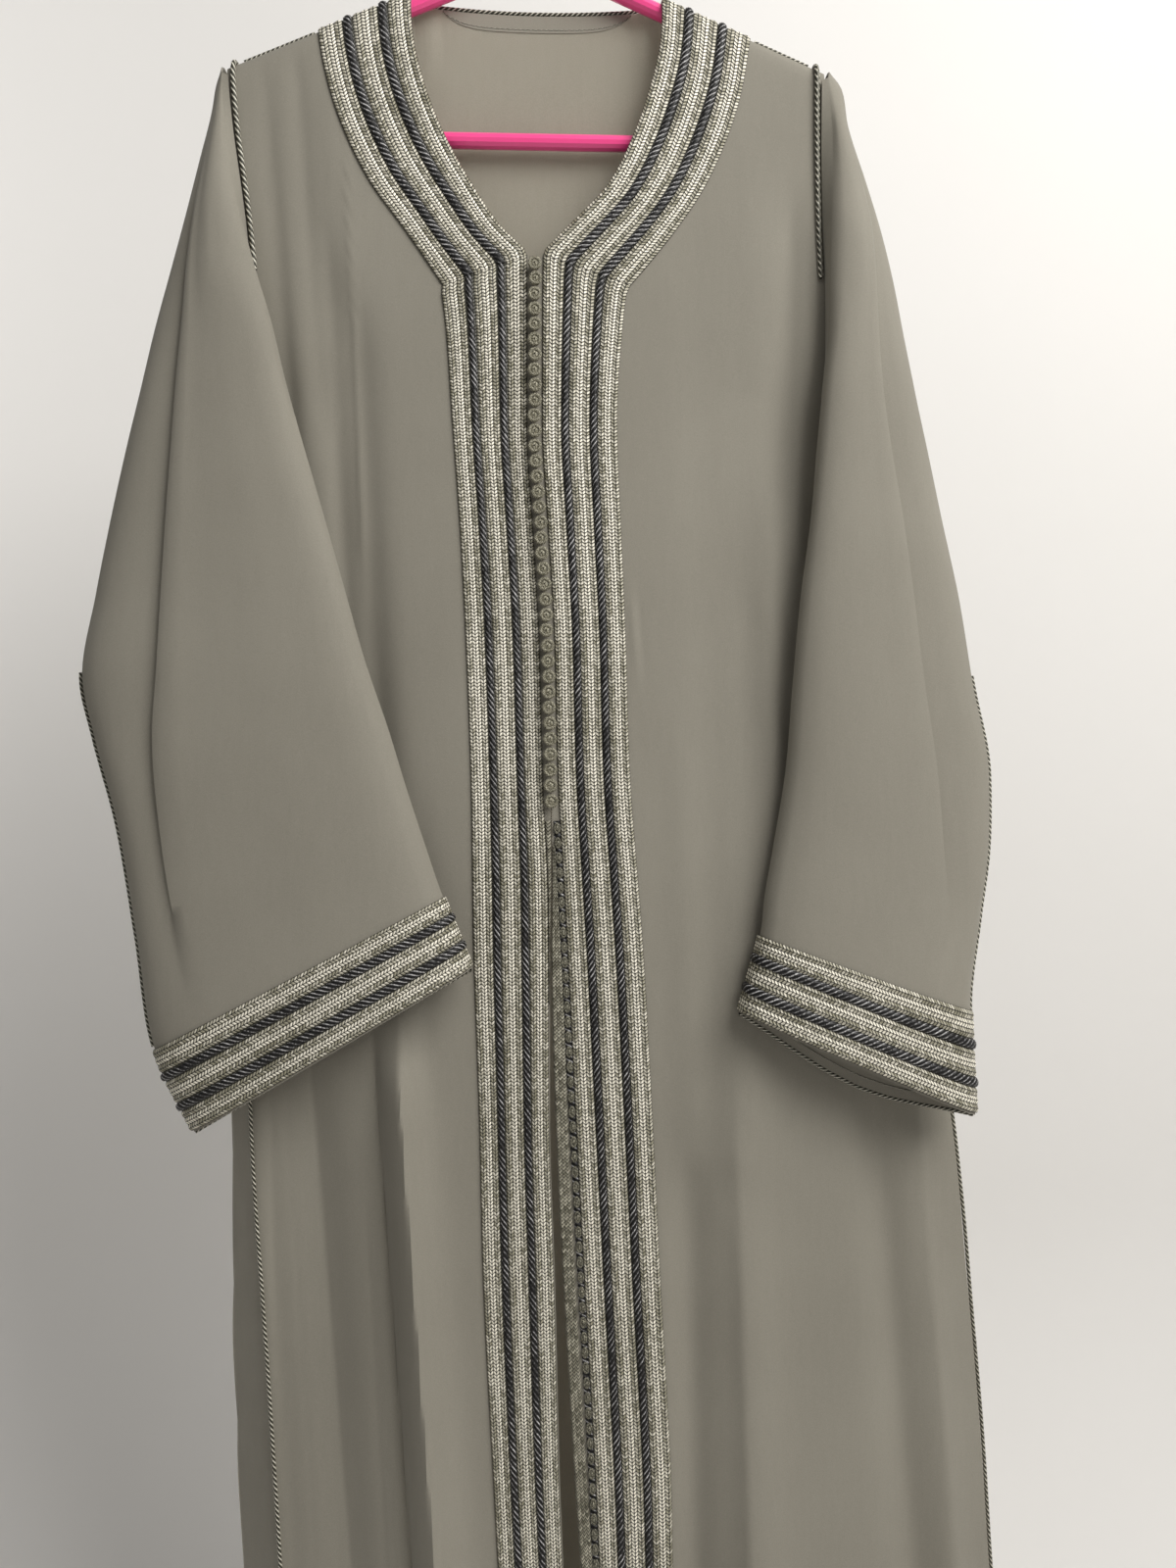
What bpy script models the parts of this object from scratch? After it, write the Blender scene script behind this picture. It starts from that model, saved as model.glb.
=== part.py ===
"""Moroccan kaftan with braid bands, hanging on a plastic tube hanger.

X runs to the viewer's right, -Y to the front and +Z up. The origin is the underside of the
hook's crown, where a rod holds it. Named sizes and tables are in millimetres, and the last
step of each mesh turns them into metres.
"""
import math

import bpy
import bmesh
import numpy as np

MM = 0.001

# Cloth and trim
WALL = 1.6
SEAM_GAP = 0.4
LAP = 2.0
HEM_HEIGHT = -1485.0
ARMPIT_HEIGHT = -380.0

# Hanger: a round tube bent to a triangle, with a hook bent from a thinner one
TUBE_RADIUS = 5.35
HOOK_RADIUS = 3.6
HOOK_CROWN = 21.0
APEX_HEIGHT = -48.5
ARM_SLOPE = 0.43
ARM_REACH = 195.0
BAR_REACH = 184.0
BAR_HEIGHT = -178.0
APEX_BEND = 34.0
TIP_BEND = 15.0
NECK_HALF = 87.0
BACK_NECK_LOW = -84.0
BACK_NECK_RISE = 5.0
BACK_NECK_DEPTH = 9.8
FACING_HALF = 60.0
FACING_DROP = 12.0
FACING_WALL = 1.0
DRAPE = TUBE_RADIUS + WALL / 2 + 1.15
SHOULDER_ANGLES = (7.5, 48.0, 90.0)

# Buttons
BUTTON_COUNT = 36
BUTTON_RADIUS = 5.0
BUTTON_GAP = 0.1
BUTTON_TOP = -272.0
BUTTON_LOW = -639.0
CORD_RADIUS = 1.4
CORD_GAP = 0.5
SHOULDER_SINK = 0.7
STRIP_TOP = -689.0
STRIP_WIDTH = 8.0
LOOP_TOP = -685.0
LOOP_INSET = 2.5
LOOP_ROOM = 4.6
CUFF_GAP = 0.6
CUFF_MARGIN = 0.02
FADE_LENGTH = 80.0
SIDE_TURN = 0.3

# Braid band, across its width: share of the width, and height over the band's back
RIB_SHARE = (0.0, 0.03, 0.25, 0.305, 0.36, 0.5, 0.63, 0.685, 0.74, 0.97, 1.0)
RIB_HEIGHT = (1.0, 1.9, 1.5, 3.3, 1.5, 1.9, 1.5, 3.3, 1.5, 1.9, 1.0)
STRIP_SHARE = (0.0, 0.12, 0.5, 0.88, 1.0)
STRIP_HEIGHT = (0.9, 1.4, 1.5, 1.4, 0.9)

COLOURS = {
    "crepe": ((0.285, 0.275, 0.235), 0.85),
    "braid": ((0.52, 0.50, 0.42), 0.5),
    "piping": ((0.20, 0.20, 0.15), 0.6),
    "knots": ((0.30, 0.29, 0.23), 0.6),
    "plastic": ((0.72, 0.06, 0.23), 0.35),
}


def table(names, rows):
    """Named columns from rows, in millimetres or shares."""
    return dict(zip(names.split(), np.array(rows, float).T))


# Neck edge and the outer edge of the neck bands
NECK = table("height left_inner right_inner left_outer right_outer", [
    (-80, -87.3, 87.3, -153.0, 152.0),
    (-115, -84.6, 85.2, -149.7, 147.6),
    (-149, -76.0, 76.8, -142.6, 141.6),
    (-181, -63.1, 65.4, -131.5, 131.3),
    (-215, -44.3, 47.7, -114.0, 115.5),
    (-243, -25.5, 21.5, -93.7, 97.0),
    (-264, -5.5, 3.2, -79.0, 81.0),
    (-287, -1.6, -0.9, -63.5, 62.0),
])

# Both fronts at the middle: edges of the panels and of the bands on them
FRONT = table("height left_outer left_band left_edge right_edge right_band right_outer", [
    (-264, -66.0, -6.8, -1.6, -0.9, 4.4, 62.5),
    (-290, -63.0, -6.8, -1.6, -0.9, 4.2, 59.7),
    (-380, -57.5, -6.8, -1.8, -1.1, 3.9, 55.1),
    (-450, -52.4, -3.0, 2.0, 2.7, 7.7, 57.5),
    (-520, -48.5, 1.2, 6.2, 6.9, 11.9, 60.4),
    (-630, -44.2, 4.2, 9.2, 9.9, 14.9, 63.8),
    (-690, -43.2, 7.1, 9.8, 10.5, 18.2, 68.4),
    (-740, -42.3, 7.9, 9.0, 9.8, 21.0, 72.1),
    (-850, -38.4, 8.2, 9.0, 12.4, 26.4, 78.0),
    (-962, -35.5, 11.6, 12.4, 17.6, 32.3, 83.2),
    (-1096, -28.5, 14.9, 15.7, 25.5, 39.7, 90.0),
    (-1163, -24.9, 17.6, 18.4, 30.0, 42.7, 91.3),
    (-1485, -12.0, 27.0, 27.8, 44.0, 58.0, 106.0),
])

# Armhole and side seam, and the outline where the back panel folds round past the seam
SIDE = table("height left_seam right_seam left_fold right_fold front_depth left_depth", [
    (-130, -213.0, 201.0, -213.0, 201.0, -7.6, -7.6),
    (-170, -209.6, 200.2, -209.6, 200.2, -8.0, -8.0),
    (-200, -206.2, 200.3, -206.2, 200.3, -8.2, -8.2),
    (-230, -202.0, 201.0, -202.0, 201.0, -8.4, -8.4),
    (-260, -197.8, 202.5, -197.8, 202.5, -8.5, -8.5),
    (-320, -193.5, 203.0, -193.5, 203.0, -7.0, -7.0),
    (-380, -192.0, 203.0, -193.0, 204.0, -1.1, -1.1),
    (-500, -194.0, 215.0, -196.0, 217.0, -1.1, -1.1),
    (-620, -197.0, 236.0, -202.0, 238.0, -1.1, -3.0),
    (-700, -198.5, 258.0, -208.0, 260.0, -1.1, -6.0),
    (-860, -196.0, 292.0, -214.0, 294.0, -1.5, -15.0),
    (-970, -188.0, 303.0, -213.5, 305.0, -2.0, -18.0),
    (-1070, -180.5, 312.0, -211.0, 314.5, -2.0, -20.0),
    (-1180, -173.0, 319.5, -206.0, 322.0, -2.0, -22.0),
    (-1485, -158.0, 341.0, -197.0, 344.0, -2.0, -25.0),
])

# How far the middle of the front and of the back stand from the hanger's plane
DEPTH = table("height front back", [
    (-80, -8.3, 9.8),
    (-115, -8.8, 10.0),
    (-181, -10.5, 10.5),
    (-264, -13.5, 11.5),
    (-380, -17.0, 13.5),
    (-520, -22.0, 17.0),
    (-700, -28.0, 21.0),
    (-1000, -35.0, 27.0),
    (-1485, -44.0, 34.0),
])

# Rows of the front panels: heights at the middle edge and at the armhole or side
FRONT_ROWS = table("inner outer", [
    (-115, -172), (-149, -205), (-181, -238), (-215, -272), (-243, -303), (-264, -331),
    (-318, -356), (-380, -386), (-450, -450), (-520, -520), (-630, -630), (-690, -690),
    (-740, -740), (-800, -800), (-850, -850), (-905, -905), (-962, -962), (-1030, -1030), (-1096, -1096),
    (-1163, -1163), (-1240, -1240), (-1320, -1320), (-1400, -1400), (HEM_HEIGHT, HEM_HEIGHT),
])
MITRE_ROW = 5
BACK_FOLD_ROW = 7
FRONT_COLUMNS = 15

# Long soft folds: a line from high to low, half its width, and its depth at both ends
FRONT_FOLDS = table("high_x high low_x low width high_depth low_depth", [
    (-124, -340, -109, -600, 13, 4.5, 5.5),
    (-150, -880, -98, -1485, 18, 5, 7),
    (-90, -850, -40, -1485, 16, -8, -14),
    (-185, -930, -150, -1485, 12, 3, 6),
    (104, -930, 112, -1485, 13, 7, 11),
    (144, -960, 160, -1485, 18, -5, -9),
    (236, -880, 286, -1485, 15, 7, 10),
    (150, -560, 150, -740, 14, 3, 3),
    (285, -1000, 312, -1485, 13, -3, -6),
])
BACK_FOLDS = table("high_x high low_x low width high_depth low_depth", [
    (-120, -260, -135, -1485, 22, 3, 13),
    (-40, -420, -62, -1485, 20, -3, -12),
    (35, -300, 40, -1485, 22, 3, 12),
    (120, -340, 150, -1485, 22, -3, -11),
    (175, -560, 240, -1485, 22, 3, 12),
])

BACK_TOP_X = (0, 25, 46, 61, 71, 77, 81, 84.5, 88, 104, 128, 155, 183)

# Rows of the back panel: heights at the middle and at the armhole or side
BACK_ROWS = table("middle outer", [
    (-118, -168), (-155, -203), (-198, -240), (-242, -276), (-290, -316), (-335, -350), (-380, -385),
    (-445, -445), (-520, -520), (-600, -600), (-680, -680), (-760, -760), (-840, -840), (-920, -920),
    (-1005, -1005), (-1090, -1090), (-1180, -1180), (-1280, -1280), (-1380, -1380), (HEM_HEIGHT, HEM_HEIGHT),
])

# Sleeve rows, from the shoulder to the cuff. The seam is the armhole's edge down to the
# armpit and the underarm seam below it. Inner and outer are the tube's two folded sides.
SLEEVE_NAMES = ("seam_x seam_z seam_front seam_back inner_x inner_z inner_y outer_x outer_z outer_y "
                "bulge round crease pleat")
LEFT_SLEEVE = table(SLEEVE_NAMES, [
    (-211.5, -141.8, -10.4, 10.4, -215.5, -139.8, -10.2, -217.2, -130.5, 0, 2, 0, 0.72, 0),
    (-210.2, -158, -10.9, 10.9, -215.2, -156.0, -12.0, -221.6, -143, 0, 3.5, 0, 0.72, 0),
    (-208.0, -180, -10.9, 10.9, -213.0, -178, -14.5, -224.0, -164, -3, 6, 0, 0.72, 0),
    (-204.2, -208, -11.0, 11.0, -209.0, -207, -18, -231.5, -199, -6, 9, 0, 0.74, 0.2),
    (-199.9, -240, -11.1, 11.1, -201.5, -240, -22, -241.0, -240, -8, 12, 0, 0.76, 0.6),
    (-196.4, -275, -11.2, 11.2, -191.5, -275, -24, -250.0, -275, -9, 14, 0, 0.745, 0.9),
    (-193.2, -318, -10.4, 10.4, -178.5, -318, -26, -260.5, -318, -10, 15, 2, 0.715, 1),
    (-191.8, -357, -6.8, 6.8, -169.0, -357, -28, -268.5, -357, -12, 16, 3, 0.71, 1),
    (-198.5, -396, -7.5, -7.5, -158.0, -396, -30, -278.0, -396, -12, 17, 3, 0.70, 1),
    (-205.0, -445, -9.0, -9.0, -143.7, -445, -31.5, -288.5, -445, -12, 18, 4, 0.70, 1),
    (-205.0, -500, -11.0, -11.0, -128.0, -500, -33.5, -299.5, -500, -12, 19, 4, 0.70, 1),
    (-205.0, -548, -13.0, -13.0, -115.0, -545, -35.5, -307.5, -552, -15, 20, 4, 0.70, 1),
    (-200.0, -593, -15.5, -15.5, -99.5, -590, -37.5, -298.0, -596, -18, 20, 4, 0.77, 1),
    (-190.0, -643, -20.0, -20.0, -87.0, -630, -40, -280.5, -655, -23, 20, 4, 0.83, 0.7),
    (-175.0, -698, -25.0, -25.0, -74.5, -667, -43, -266.0, -730, -28, 20, 4, 0.84, 0.3),
    (-165.0, -755, -30.0, -30.0, -62.4, -701.4, -46, -253.0, -802, -33, 20, 4, 0.80, 0),
    (-142.0, -808, -33.0, -33.0, -43.3, -748.8, -48, -226.0, -857, -36, 20, 4, 0.80, 0),
])
RIGHT_SLEEVE = table(SLEEVE_NAMES, [
    (198.6, -137, -10.4, 10.4, 202.8, -135.0, -10.2, 205.5, -125.0, 0, 2, 0, 0.72, 0),
    (198.4, -156, -10.9, 10.9, 204.5, -153, -12.5, 214.5, -137, 0, 3.5, 0, 0.72, 0),
    (198.4, -180, -10.9, 10.9, 206.0, -178, -15.5, 218.5, -166, -3, 7, 0, 0.72, 0),
    (198.8, -208, -11.0, 11.0, 205.5, -208, -19, 230.0, -205, -6, 9, 0, 0.74, 0.2),
    (199.5, -240, -11.1, 11.1, 203.5, -241, -23, 240.0, -240, -8, 12, 0, 0.72, 0.5),
    (201.0, -275, -11.2, 11.2, 202.0, -276, -24, 248.5, -275, -9, 13, 0, 0.64, 0.8),
    (201.6, -318, -10.4, 10.4, 200.5, -318, -25, 256.0, -318, -10, 14, 2, 0.58, 1),
    (202.2, -357, -6.8, 6.8, 196.0, -357, -26, 263.0, -357, -12, 15, 3, 0.58, 1),
    (211.5, -396, -7.0, -7.0, 192.0, -396, -27, 271.5, -396, -12, 16, 3, 0.60, 1),
    (222.0, -445, -8.5, -8.5, 187.5, -445, -28.5, 281.5, -445, -12, 17, 4, 0.64, 1),
    (232.0, -500, -10.0, -10.0, 180.0, -500, -30, 293.7, -500, -12, 18, 4, 0.66, 1),
    (240.0, -558, -12.0, -12.0, 174.3, -558, -31.5, 302.5, -558, -14, 19, 4, 0.68, 1),
    (243.0, -620, -14.0, -14.0, 169.0, -618, -33, 313.0, -622, -16.5, 20, 4, 0.70, 1),
    (240.0, -671, -17.0, -17.0, 160.5, -668, -35, 311.0, -674, -20, 20, 4, 0.75, 1),
    (232.0, -712, -21.0, -21.0, 154.0, -702, -37.5, 303.5, -720, -24, 20, 4, 0.82, 0.6),
    (224.0, -754, -26.0, -26.0, 150.5, -728, -40, 295.0, -780, -29, 20, 4, 0.80, 0),
    (219.0, -833, -29.0, -29.0, 135.6, -780, -42, 297.5, -852, -32, 20, 4, 0.80, 0),
])
UNDER_STEPS = 4
OUTER_STEPS = 6
CREASE_SHARES = (0.0, 0.014, 0.07, 0.2, 0.4, 0.6, 0.8, 1.0)
FULL_ROUND = 4.0
PAST_CREASE_SHARES = (0.35, 0.72, 0.95, 1.0)
PLEAT_RETURN = 0.05
PLEAT_DEPTH = 5.0
CUFF_ROW = 15


def read(columns, name, height):
    """Value of a column at a height, straight between the table's rows."""
    return np.interp(-np.asarray(height, float), -columns["height"], columns[name])


def arm_height(x):
    """Height of the hanger arm's centre line at a distance x from the middle."""
    return APEX_HEIGHT - ARM_SLOPE * np.abs(x)


def folds(columns, x, height):
    """Sum of soft folds: each a bell across its line, fading in above its upper end."""
    total = np.zeros(np.broadcast(x, height).shape)
    for k in range(len(columns["high"])):
        fold = {name: values[k] for name, values in columns.items()}
        run = (fold["high"] - height) / (fold["high"] - fold["low"])
        centre = fold["high_x"] + (fold["low_x"] - fold["high_x"]) * run
        depth = fold["high_depth"] + (fold["low_depth"] - fold["high_depth"]) * run
        fade = np.clip(1 + run * (fold["high"] - fold["low"]) / FADE_LENGTH, 0, 1) * (run < 1.25)
        total = total + depth * fade * np.exp(-((x - centre) / fold["width"]) ** 2)
    return total


def front_depth(x, height):
    """Y of the front panels' middle surface: full at the middle, falling away to the sides."""
    middle = np.where(height > FRONT["height"][0], 0.0, 0.5 * (read(FRONT, "left_edge", height)
                                                              + read(FRONT, "right_edge", height)))
    left = read(SIDE, "left_seam", height)
    right = read(SIDE, "right_seam", height)
    share = np.where(x < middle, (x - middle) / (left - middle), (x - middle) / (right - middle))
    share = np.clip(share, 0, 1)
    side = np.where(x < middle, read(SIDE, "left_depth", height), read(SIDE, "front_depth", height))
    full = read(DEPTH, "front", height)
    bell = 1 - share ** 2.6
    return side + (full - side) * bell + folds(FRONT_FOLDS, x, height) * np.minimum(1, 8 * (1 - share))


def front_point_rows(sign):
    """Points of one front panel's middle surface: rows from the shoulder to the hem."""
    side = "left" if sign < 0 else "right"
    share = np.linspace(0, 1, FRONT_COLUMNS)
    rows = []
    seam_top = read(SIDE, side + "_seam", -131)
    for angle in SHOULDER_ANGLES:
        x = sign * NECK_HALF + (seam_top - sign * NECK_HALF) * share
        turn = math.radians(angle)
        y = np.full_like(x, -DRAPE * math.sin(turn))
        rows.append(np.stack([x, y, arm_height(x) + DRAPE * math.cos(turn)], axis=1))
    for inner, outer in zip(FRONT_ROWS["inner"], FRONT_ROWS["outer"]):
        if inner > FRONT["height"][0] - 1:
            inner_x = read(NECK, side + "_inner", inner)
        else:
            inner_x = read(FRONT, side + "_edge", inner)
        outer_x = read(SIDE, side + "_seam", outer)
        x = inner_x + (outer_x - inner_x) * share
        z = inner + (outer - inner) * share
        rows.append(np.stack([x, front_depth(x, z), z], axis=1))
    return np.array(rows)


def back_point_rows():
    """Points of the back panel's middle surface, neck and shoulders to hem."""
    left_top = float(read(SIDE, "left_seam", -131))
    right_top = float(read(SIDE, "right_seam", -131))
    half = np.array(BACK_TOP_X, float)
    top_x = np.concatenate([[left_top], -half[:0:-1], half, [right_top]])
    neck = BACK_NECK_LOW + BACK_NECK_RISE * (top_x / NECK_HALF) ** 2
    round_arm = DRAPE + 2 * SEAM_GAP
    clear = np.interp(np.abs(top_x), (0, 67, 75), (BACK_NECK_DEPTH, BACK_NECK_DEPTH, round_arm))
    on_arm = np.abs(top_x) > NECK_HALF
    rows = []
    for angle in SHOULDER_ANGLES:
        turn = math.radians(angle)
        neck_z = neck - DRAPE * (math.cos(math.radians(SHOULDER_ANGLES[0])) - math.cos(turn))
        lift = np.clip(neck_z - arm_height(top_x), 0, DRAPE)
        around = np.sqrt(round_arm ** 2 - lift ** 2)
        neck_y = np.where(lift > 0, around, clear)
        y = np.where(on_arm, DRAPE * math.sin(turn), neck_y)
        z = np.where(on_arm, arm_height(top_x) + DRAPE * math.cos(turn), neck_z)
        rows.append(np.stack([top_x, y, z], axis=1))
    count = len(top_x)
    top_share = (top_x - left_top) / (right_top - left_top)
    even_share = np.linspace(0, 1, count)
    for middle, outer in zip(BACK_ROWS["middle"], BACK_ROWS["outer"]):
        section = back_section(middle, outer)
        length = np.concatenate([[0], np.cumsum(np.hypot(np.diff(section[:, 0]), np.diff(section[:, 1])))])
        ease = np.clip((-110 - middle) / 250.0, 0, 1)
        share = (top_share + (even_share - top_share) * ease) * length[-1]
        rows.append(np.stack([np.interp(share, length, section[:, k]) for k in range(3)], axis=1))
    return np.array(rows)


def back_section(middle, outer):
    """The back panel's section between two heights, from its left side edge to its right one."""
    share = np.linspace(-1, 1, 121)
    z = middle + (outer - middle) * np.abs(share)
    x = np.where(share < 0, -read(SIDE, "left_fold", z) * share, read(SIDE, "right_fold", z) * share)
    full = read(DEPTH, "back", z)
    edges = []
    for name in ("left_depth", "front_depth"):
        side = float(read(SIDE, name, outer))
        edges.append(-side if outer > ARMPIT_HEIGHT else side + LAP)
    turn = float(read(DEPTH, "back", outer)) * (0.0 if outer > ARMPIT_HEIGHT else SIDE_TURN)
    edge_y = np.where(share < 0, max(edges[0], turn), max(edges[1], turn))
    y = edge_y + (full - edge_y) * (1 - np.abs(share) ** 3)
    y = y + folds(BACK_FOLDS, x, z) * np.minimum(1, 6 * (1 - np.abs(share)))
    points = np.stack([x, y, z], axis=1)
    first = (float(read(SIDE, "left_seam", outer)), edges[0], outer)
    last = (float(read(SIDE, "right_seam", outer)), edges[1], outer)
    return np.concatenate([[first], points, [last]])


def sleeve_point_rows(rows):
    """Points of a sleeve's middle surface. The first and last columns are the seam.

    From the seam the section goes under to the inner fold, over the front to the outer fold
    and back to the seam. The front swells by a flattened oval and has one lapped pleat.
    """
    points = []
    for k in range(len(rows["bulge"])):
        row = {name: values[k] for name, values in rows.items()}
        seam = np.array([row["seam_x"], row["seam_front"], row["seam_z"]])
        inner = np.array([row["inner_x"], row["inner_y"], row["inner_z"]])
        outer = np.array([row["outer_x"], row["outer_y"], row["outer_z"]])
        step = np.linspace(0, 1, UNDER_STEPS + 1)[:-1, None]
        under = seam + (inner - seam) * step
        under[:, 1] += row["round"] * (step - step ** 6)[:, 0]
        even = np.linspace(0, 1, len(CREASE_SHARES))
        near_fold = even + (np.array(CREASE_SHARES) - even) * row["round"] / FULL_ROUND
        front_share = list(row["crease"] * near_fold)
        past = row["crease"] + 0.02 - PLEAT_RETURN * row["pleat"]
        front_share += [past] + [row["crease"] + 0.03 + (0.97 - row["crease"]) * s for s in PAST_CREASE_SHARES]
        share = np.array(front_share)
        power = 1.5 + 0.275 * row["round"]
        oval = (1 - np.abs(2 * share - 1) ** power) ** (1 / power)
        front = inner + (outer - inner) * share[:, None]
        front[:, 1] -= row["bulge"] * oval
        behind = np.arange(len(share)) >= len(CREASE_SHARES)
        fall = np.where(behind, np.interp(share, (row["crease"], 1), (1, 0)), 0)
        front[:, 1] += PLEAT_DEPTH * row["pleat"] * fall
        turn = np.linspace(0, math.pi / 2, OUTER_STEPS + 1)[1:]
        last = np.array([row["seam_x"], row["seam_back"], row["seam_z"]])
        back = np.empty((OUTER_STEPS, 3))
        back[:, 0] = last[0] + (outer[0] - last[0]) * np.cos(turn)
        back[:, 2] = last[2] + (outer[2] - last[2]) * np.cos(turn)
        back[:, 1] = outer[1] + (last[1] - outer[1]) * np.sin(turn)
        points.append(np.concatenate([under, front, back]))
    return np.array(points)


def grid_normals(grid):
    """Unit normals of a grid of points, from its two directions."""
    along = np.gradient(grid, axis=0)
    across = np.gradient(grid, axis=1)
    normal = np.cross(along, across)
    return normal / np.linalg.norm(normal, axis=2, keepdims=True)


def material(name):
    """A Principled material with one of the part's colours."""
    if name in bpy.data.materials:
        return bpy.data.materials[name]
    colour, roughness = COLOURS[name]
    made = bpy.data.materials.new(name)
    made.use_nodes = True
    shader = made.node_tree.nodes["Principled BSDF"]
    shader.inputs["Base Color"].default_value = (*colour, 1.0)
    shader.inputs["Roughness"].default_value = roughness
    return made


def add_object(name, mesh, collection, finish):
    """Put a mesh in the scene as a named, smooth-shaded object."""
    obj = bpy.data.objects.new(name, mesh)
    collection.objects.link(obj)
    mesh.materials.append(material(finish))
    mesh.shade_smooth()
    mesh.set_sharp_from_angle(angle=math.radians(50))
    return obj


def grid_faces(rows, columns):
    """Quads of a grid of rows by columns."""
    faces = []
    for i in range(rows - 1):
        for j in range(columns - 1):
            corner = i * columns + j
            faces.append((corner, corner + 1, corner + columns + 1, corner + columns))
    return faces


def make_mesh(name, points, faces):
    """Mesh in metres from points in millimetres, with its faces turned outwards."""
    mesh = bpy.data.meshes.new(name)
    mesh.from_pydata((np.asarray(points).reshape(-1, 3) * MM).tolist(), [], faces)
    work = bmesh.new()
    work.from_mesh(mesh)
    bmesh.ops.remove_doubles(work, verts=work.verts, dist=0.00001)
    bmesh.ops.recalc_face_normals(work, faces=work.faces)
    work.to_mesh(mesh)
    work.free()
    return mesh


def cloth(name, grid, collection):
    """A cloth wall: an open sheet through a grid of points, thickened evenly both ways."""
    rows, columns = grid.shape[:2]
    mesh = make_mesh(name, grid, grid_faces(rows, columns))
    obj = add_object(name, mesh, collection, "crepe")
    wall = obj.modifiers.new("wall", "SOLIDIFY")
    wall.thickness = WALL * MM
    wall.offset = 0.0
    wall.use_even_offset = True
    wall.thickness_clamp = 0.0
    return obj


def strip(name, grid, normals, shares_height, gap, collection, finish, closed=False):
    """A band that lies on a surface: plain back a gap off it, ribs raised from its front.

    The grid runs along the band by rows and across it by columns. Closed joins the ends.
    """
    rows, columns = grid.shape[:2]
    height = np.asarray(shares_height)[None, :, None]
    back = grid + normals * gap
    front = back + normals / np.linalg.norm(normals, axis=2, keepdims=True) * height
    ring = np.concatenate([front, back[:, ::-1]], axis=1)
    width = 2 * columns
    faces = []
    stretch = rows if closed else rows - 1
    for i in range(stretch):
        below = (i + 1) % rows
        for j in range(width):
            right = (j + 1) % width
            faces.append((i * width + j, i * width + right, below * width + right, below * width + j))
    if not closed:
        for i in (0, rows - 1):
            for j in range(columns - 1):
                faces.append((i * width + j, i * width + j + 1, i * width + width - 2 - j, i * width + width - 1 - j))
    return add_object(name, make_mesh(name, ring, faces), collection, finish)


def cord(name, points, radius, collection, finish, closed=False, sides=0):
    """A round cord or tube along points in millimetres, made a closed mesh."""
    curve = bpy.data.curves.new(name, "CURVE")
    curve.dimensions = "3D"
    curve.bevel_depth = radius * MM
    curve.bevel_resolution = sides
    curve.use_fill_caps = True
    spline = curve.splines.new("POLY")
    spline.points.add(len(points) - 1)
    for target, point in zip(spline.points, points):
        target.co = (point[0] * MM, point[1] * MM, point[2] * MM, 1.0)
    spline.use_cyclic_u = closed
    curve_object = bpy.data.objects.new(name + "_curve", curve)
    collection.objects.link(curve_object)
    bpy.context.view_layer.update()
    evaluated = curve_object.evaluated_get(bpy.context.evaluated_depsgraph_get())
    mesh = bpy.data.meshes.new_from_object(evaluated)
    bpy.data.objects.remove(curve_object)
    work = bmesh.new()
    work.from_mesh(mesh)
    bmesh.ops.remove_doubles(work, verts=work.verts, dist=0.00001)
    bmesh.ops.recalc_face_normals(work, faces=work.faces)
    work.to_mesh(mesh)
    work.free()
    mesh.materials.clear()
    return add_object(name, mesh, collection, finish)


def rounded_corner(before, corner, after, radius, steps):
    """Points of an arc of a radius that rounds the corner of a flat path."""
    before, corner, after = (np.array(p, float) for p in (before, corner, after))
    back = (before - corner) / np.linalg.norm(before - corner)
    ahead = (after - corner) / np.linalg.norm(after - corner)
    half = 0.5 * math.acos(float(np.dot(back, ahead)))
    centre = corner + (back + ahead) / np.linalg.norm(back + ahead) * radius / math.sin(half)
    start = corner + back * radius / math.tan(half) - centre
    end = corner + ahead * radius / math.tan(half) - centre
    sweep = math.pi - 2 * half
    points = []
    for k in range(steps + 1):
        t = k / steps
        mixed = (math.sin((1 - t) * sweep) * start + math.sin(t * sweep) * end) / math.sin(sweep)
        points.append(centre + mixed)
    return points


def make_hanger(collection):
    """Plastic tube bent to a triangle, with the hook's tube joined into its top."""
    tip_height = APEX_HEIGHT - ARM_SLOPE * ARM_REACH
    corners = [(0, APEX_HEIGHT), (ARM_REACH, tip_height), (BAR_REACH, BAR_HEIGHT),
               (-BAR_REACH, BAR_HEIGHT), (-ARM_REACH, tip_height)]
    bends = [APEX_BEND, TIP_BEND, TIP_BEND, TIP_BEND, TIP_BEND]
    path = []
    for k, corner in enumerate(corners):
        path += rounded_corner(corners[k - 1], corner, corners[(k + 1) % len(corners)], bends[k], 4)
    loop = cord("hanger", [(p[0], 0, p[1]) for p in path], TUBE_RADIUS, collection, "plastic", True, 4)
    top = max(p[1] for p in path)
    centre = -HOOK_CROWN + HOOK_RADIUS
    reach = HOOK_CROWN
    hook = [(0, 0, top - 3), (0, 0, top + 8), (5, 0, centre - 17), (14, 0, centre - 11.5)]
    for k in range(11):
        turn = math.radians(-16 + 21.5 * k)
        hook.append((reach * math.cos(turn), 0, centre + reach * math.sin(turn)))
    hook_object = cord("hook_part", hook, HOOK_RADIUS, collection, "plastic", False, 4)
    union = loop.modifiers.new("hook", "BOOLEAN")
    union.operation = "UNION"
    union.solver = "EXACT"
    union.object = hook_object
    bpy.context.view_layer.update()
    evaluated = loop.evaluated_get(bpy.context.evaluated_depsgraph_get())
    joined = bpy.data.meshes.new_from_object(evaluated)
    loop.modifiers.clear()
    loop.data = joined
    bpy.data.objects.remove(hook_object)
    return loop


def row_share(line, target):
    """Share along a straight row at which its x meets a target x."""
    return (target - line[0, 0]) / (line[-1, 0] - line[0, 0])


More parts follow.
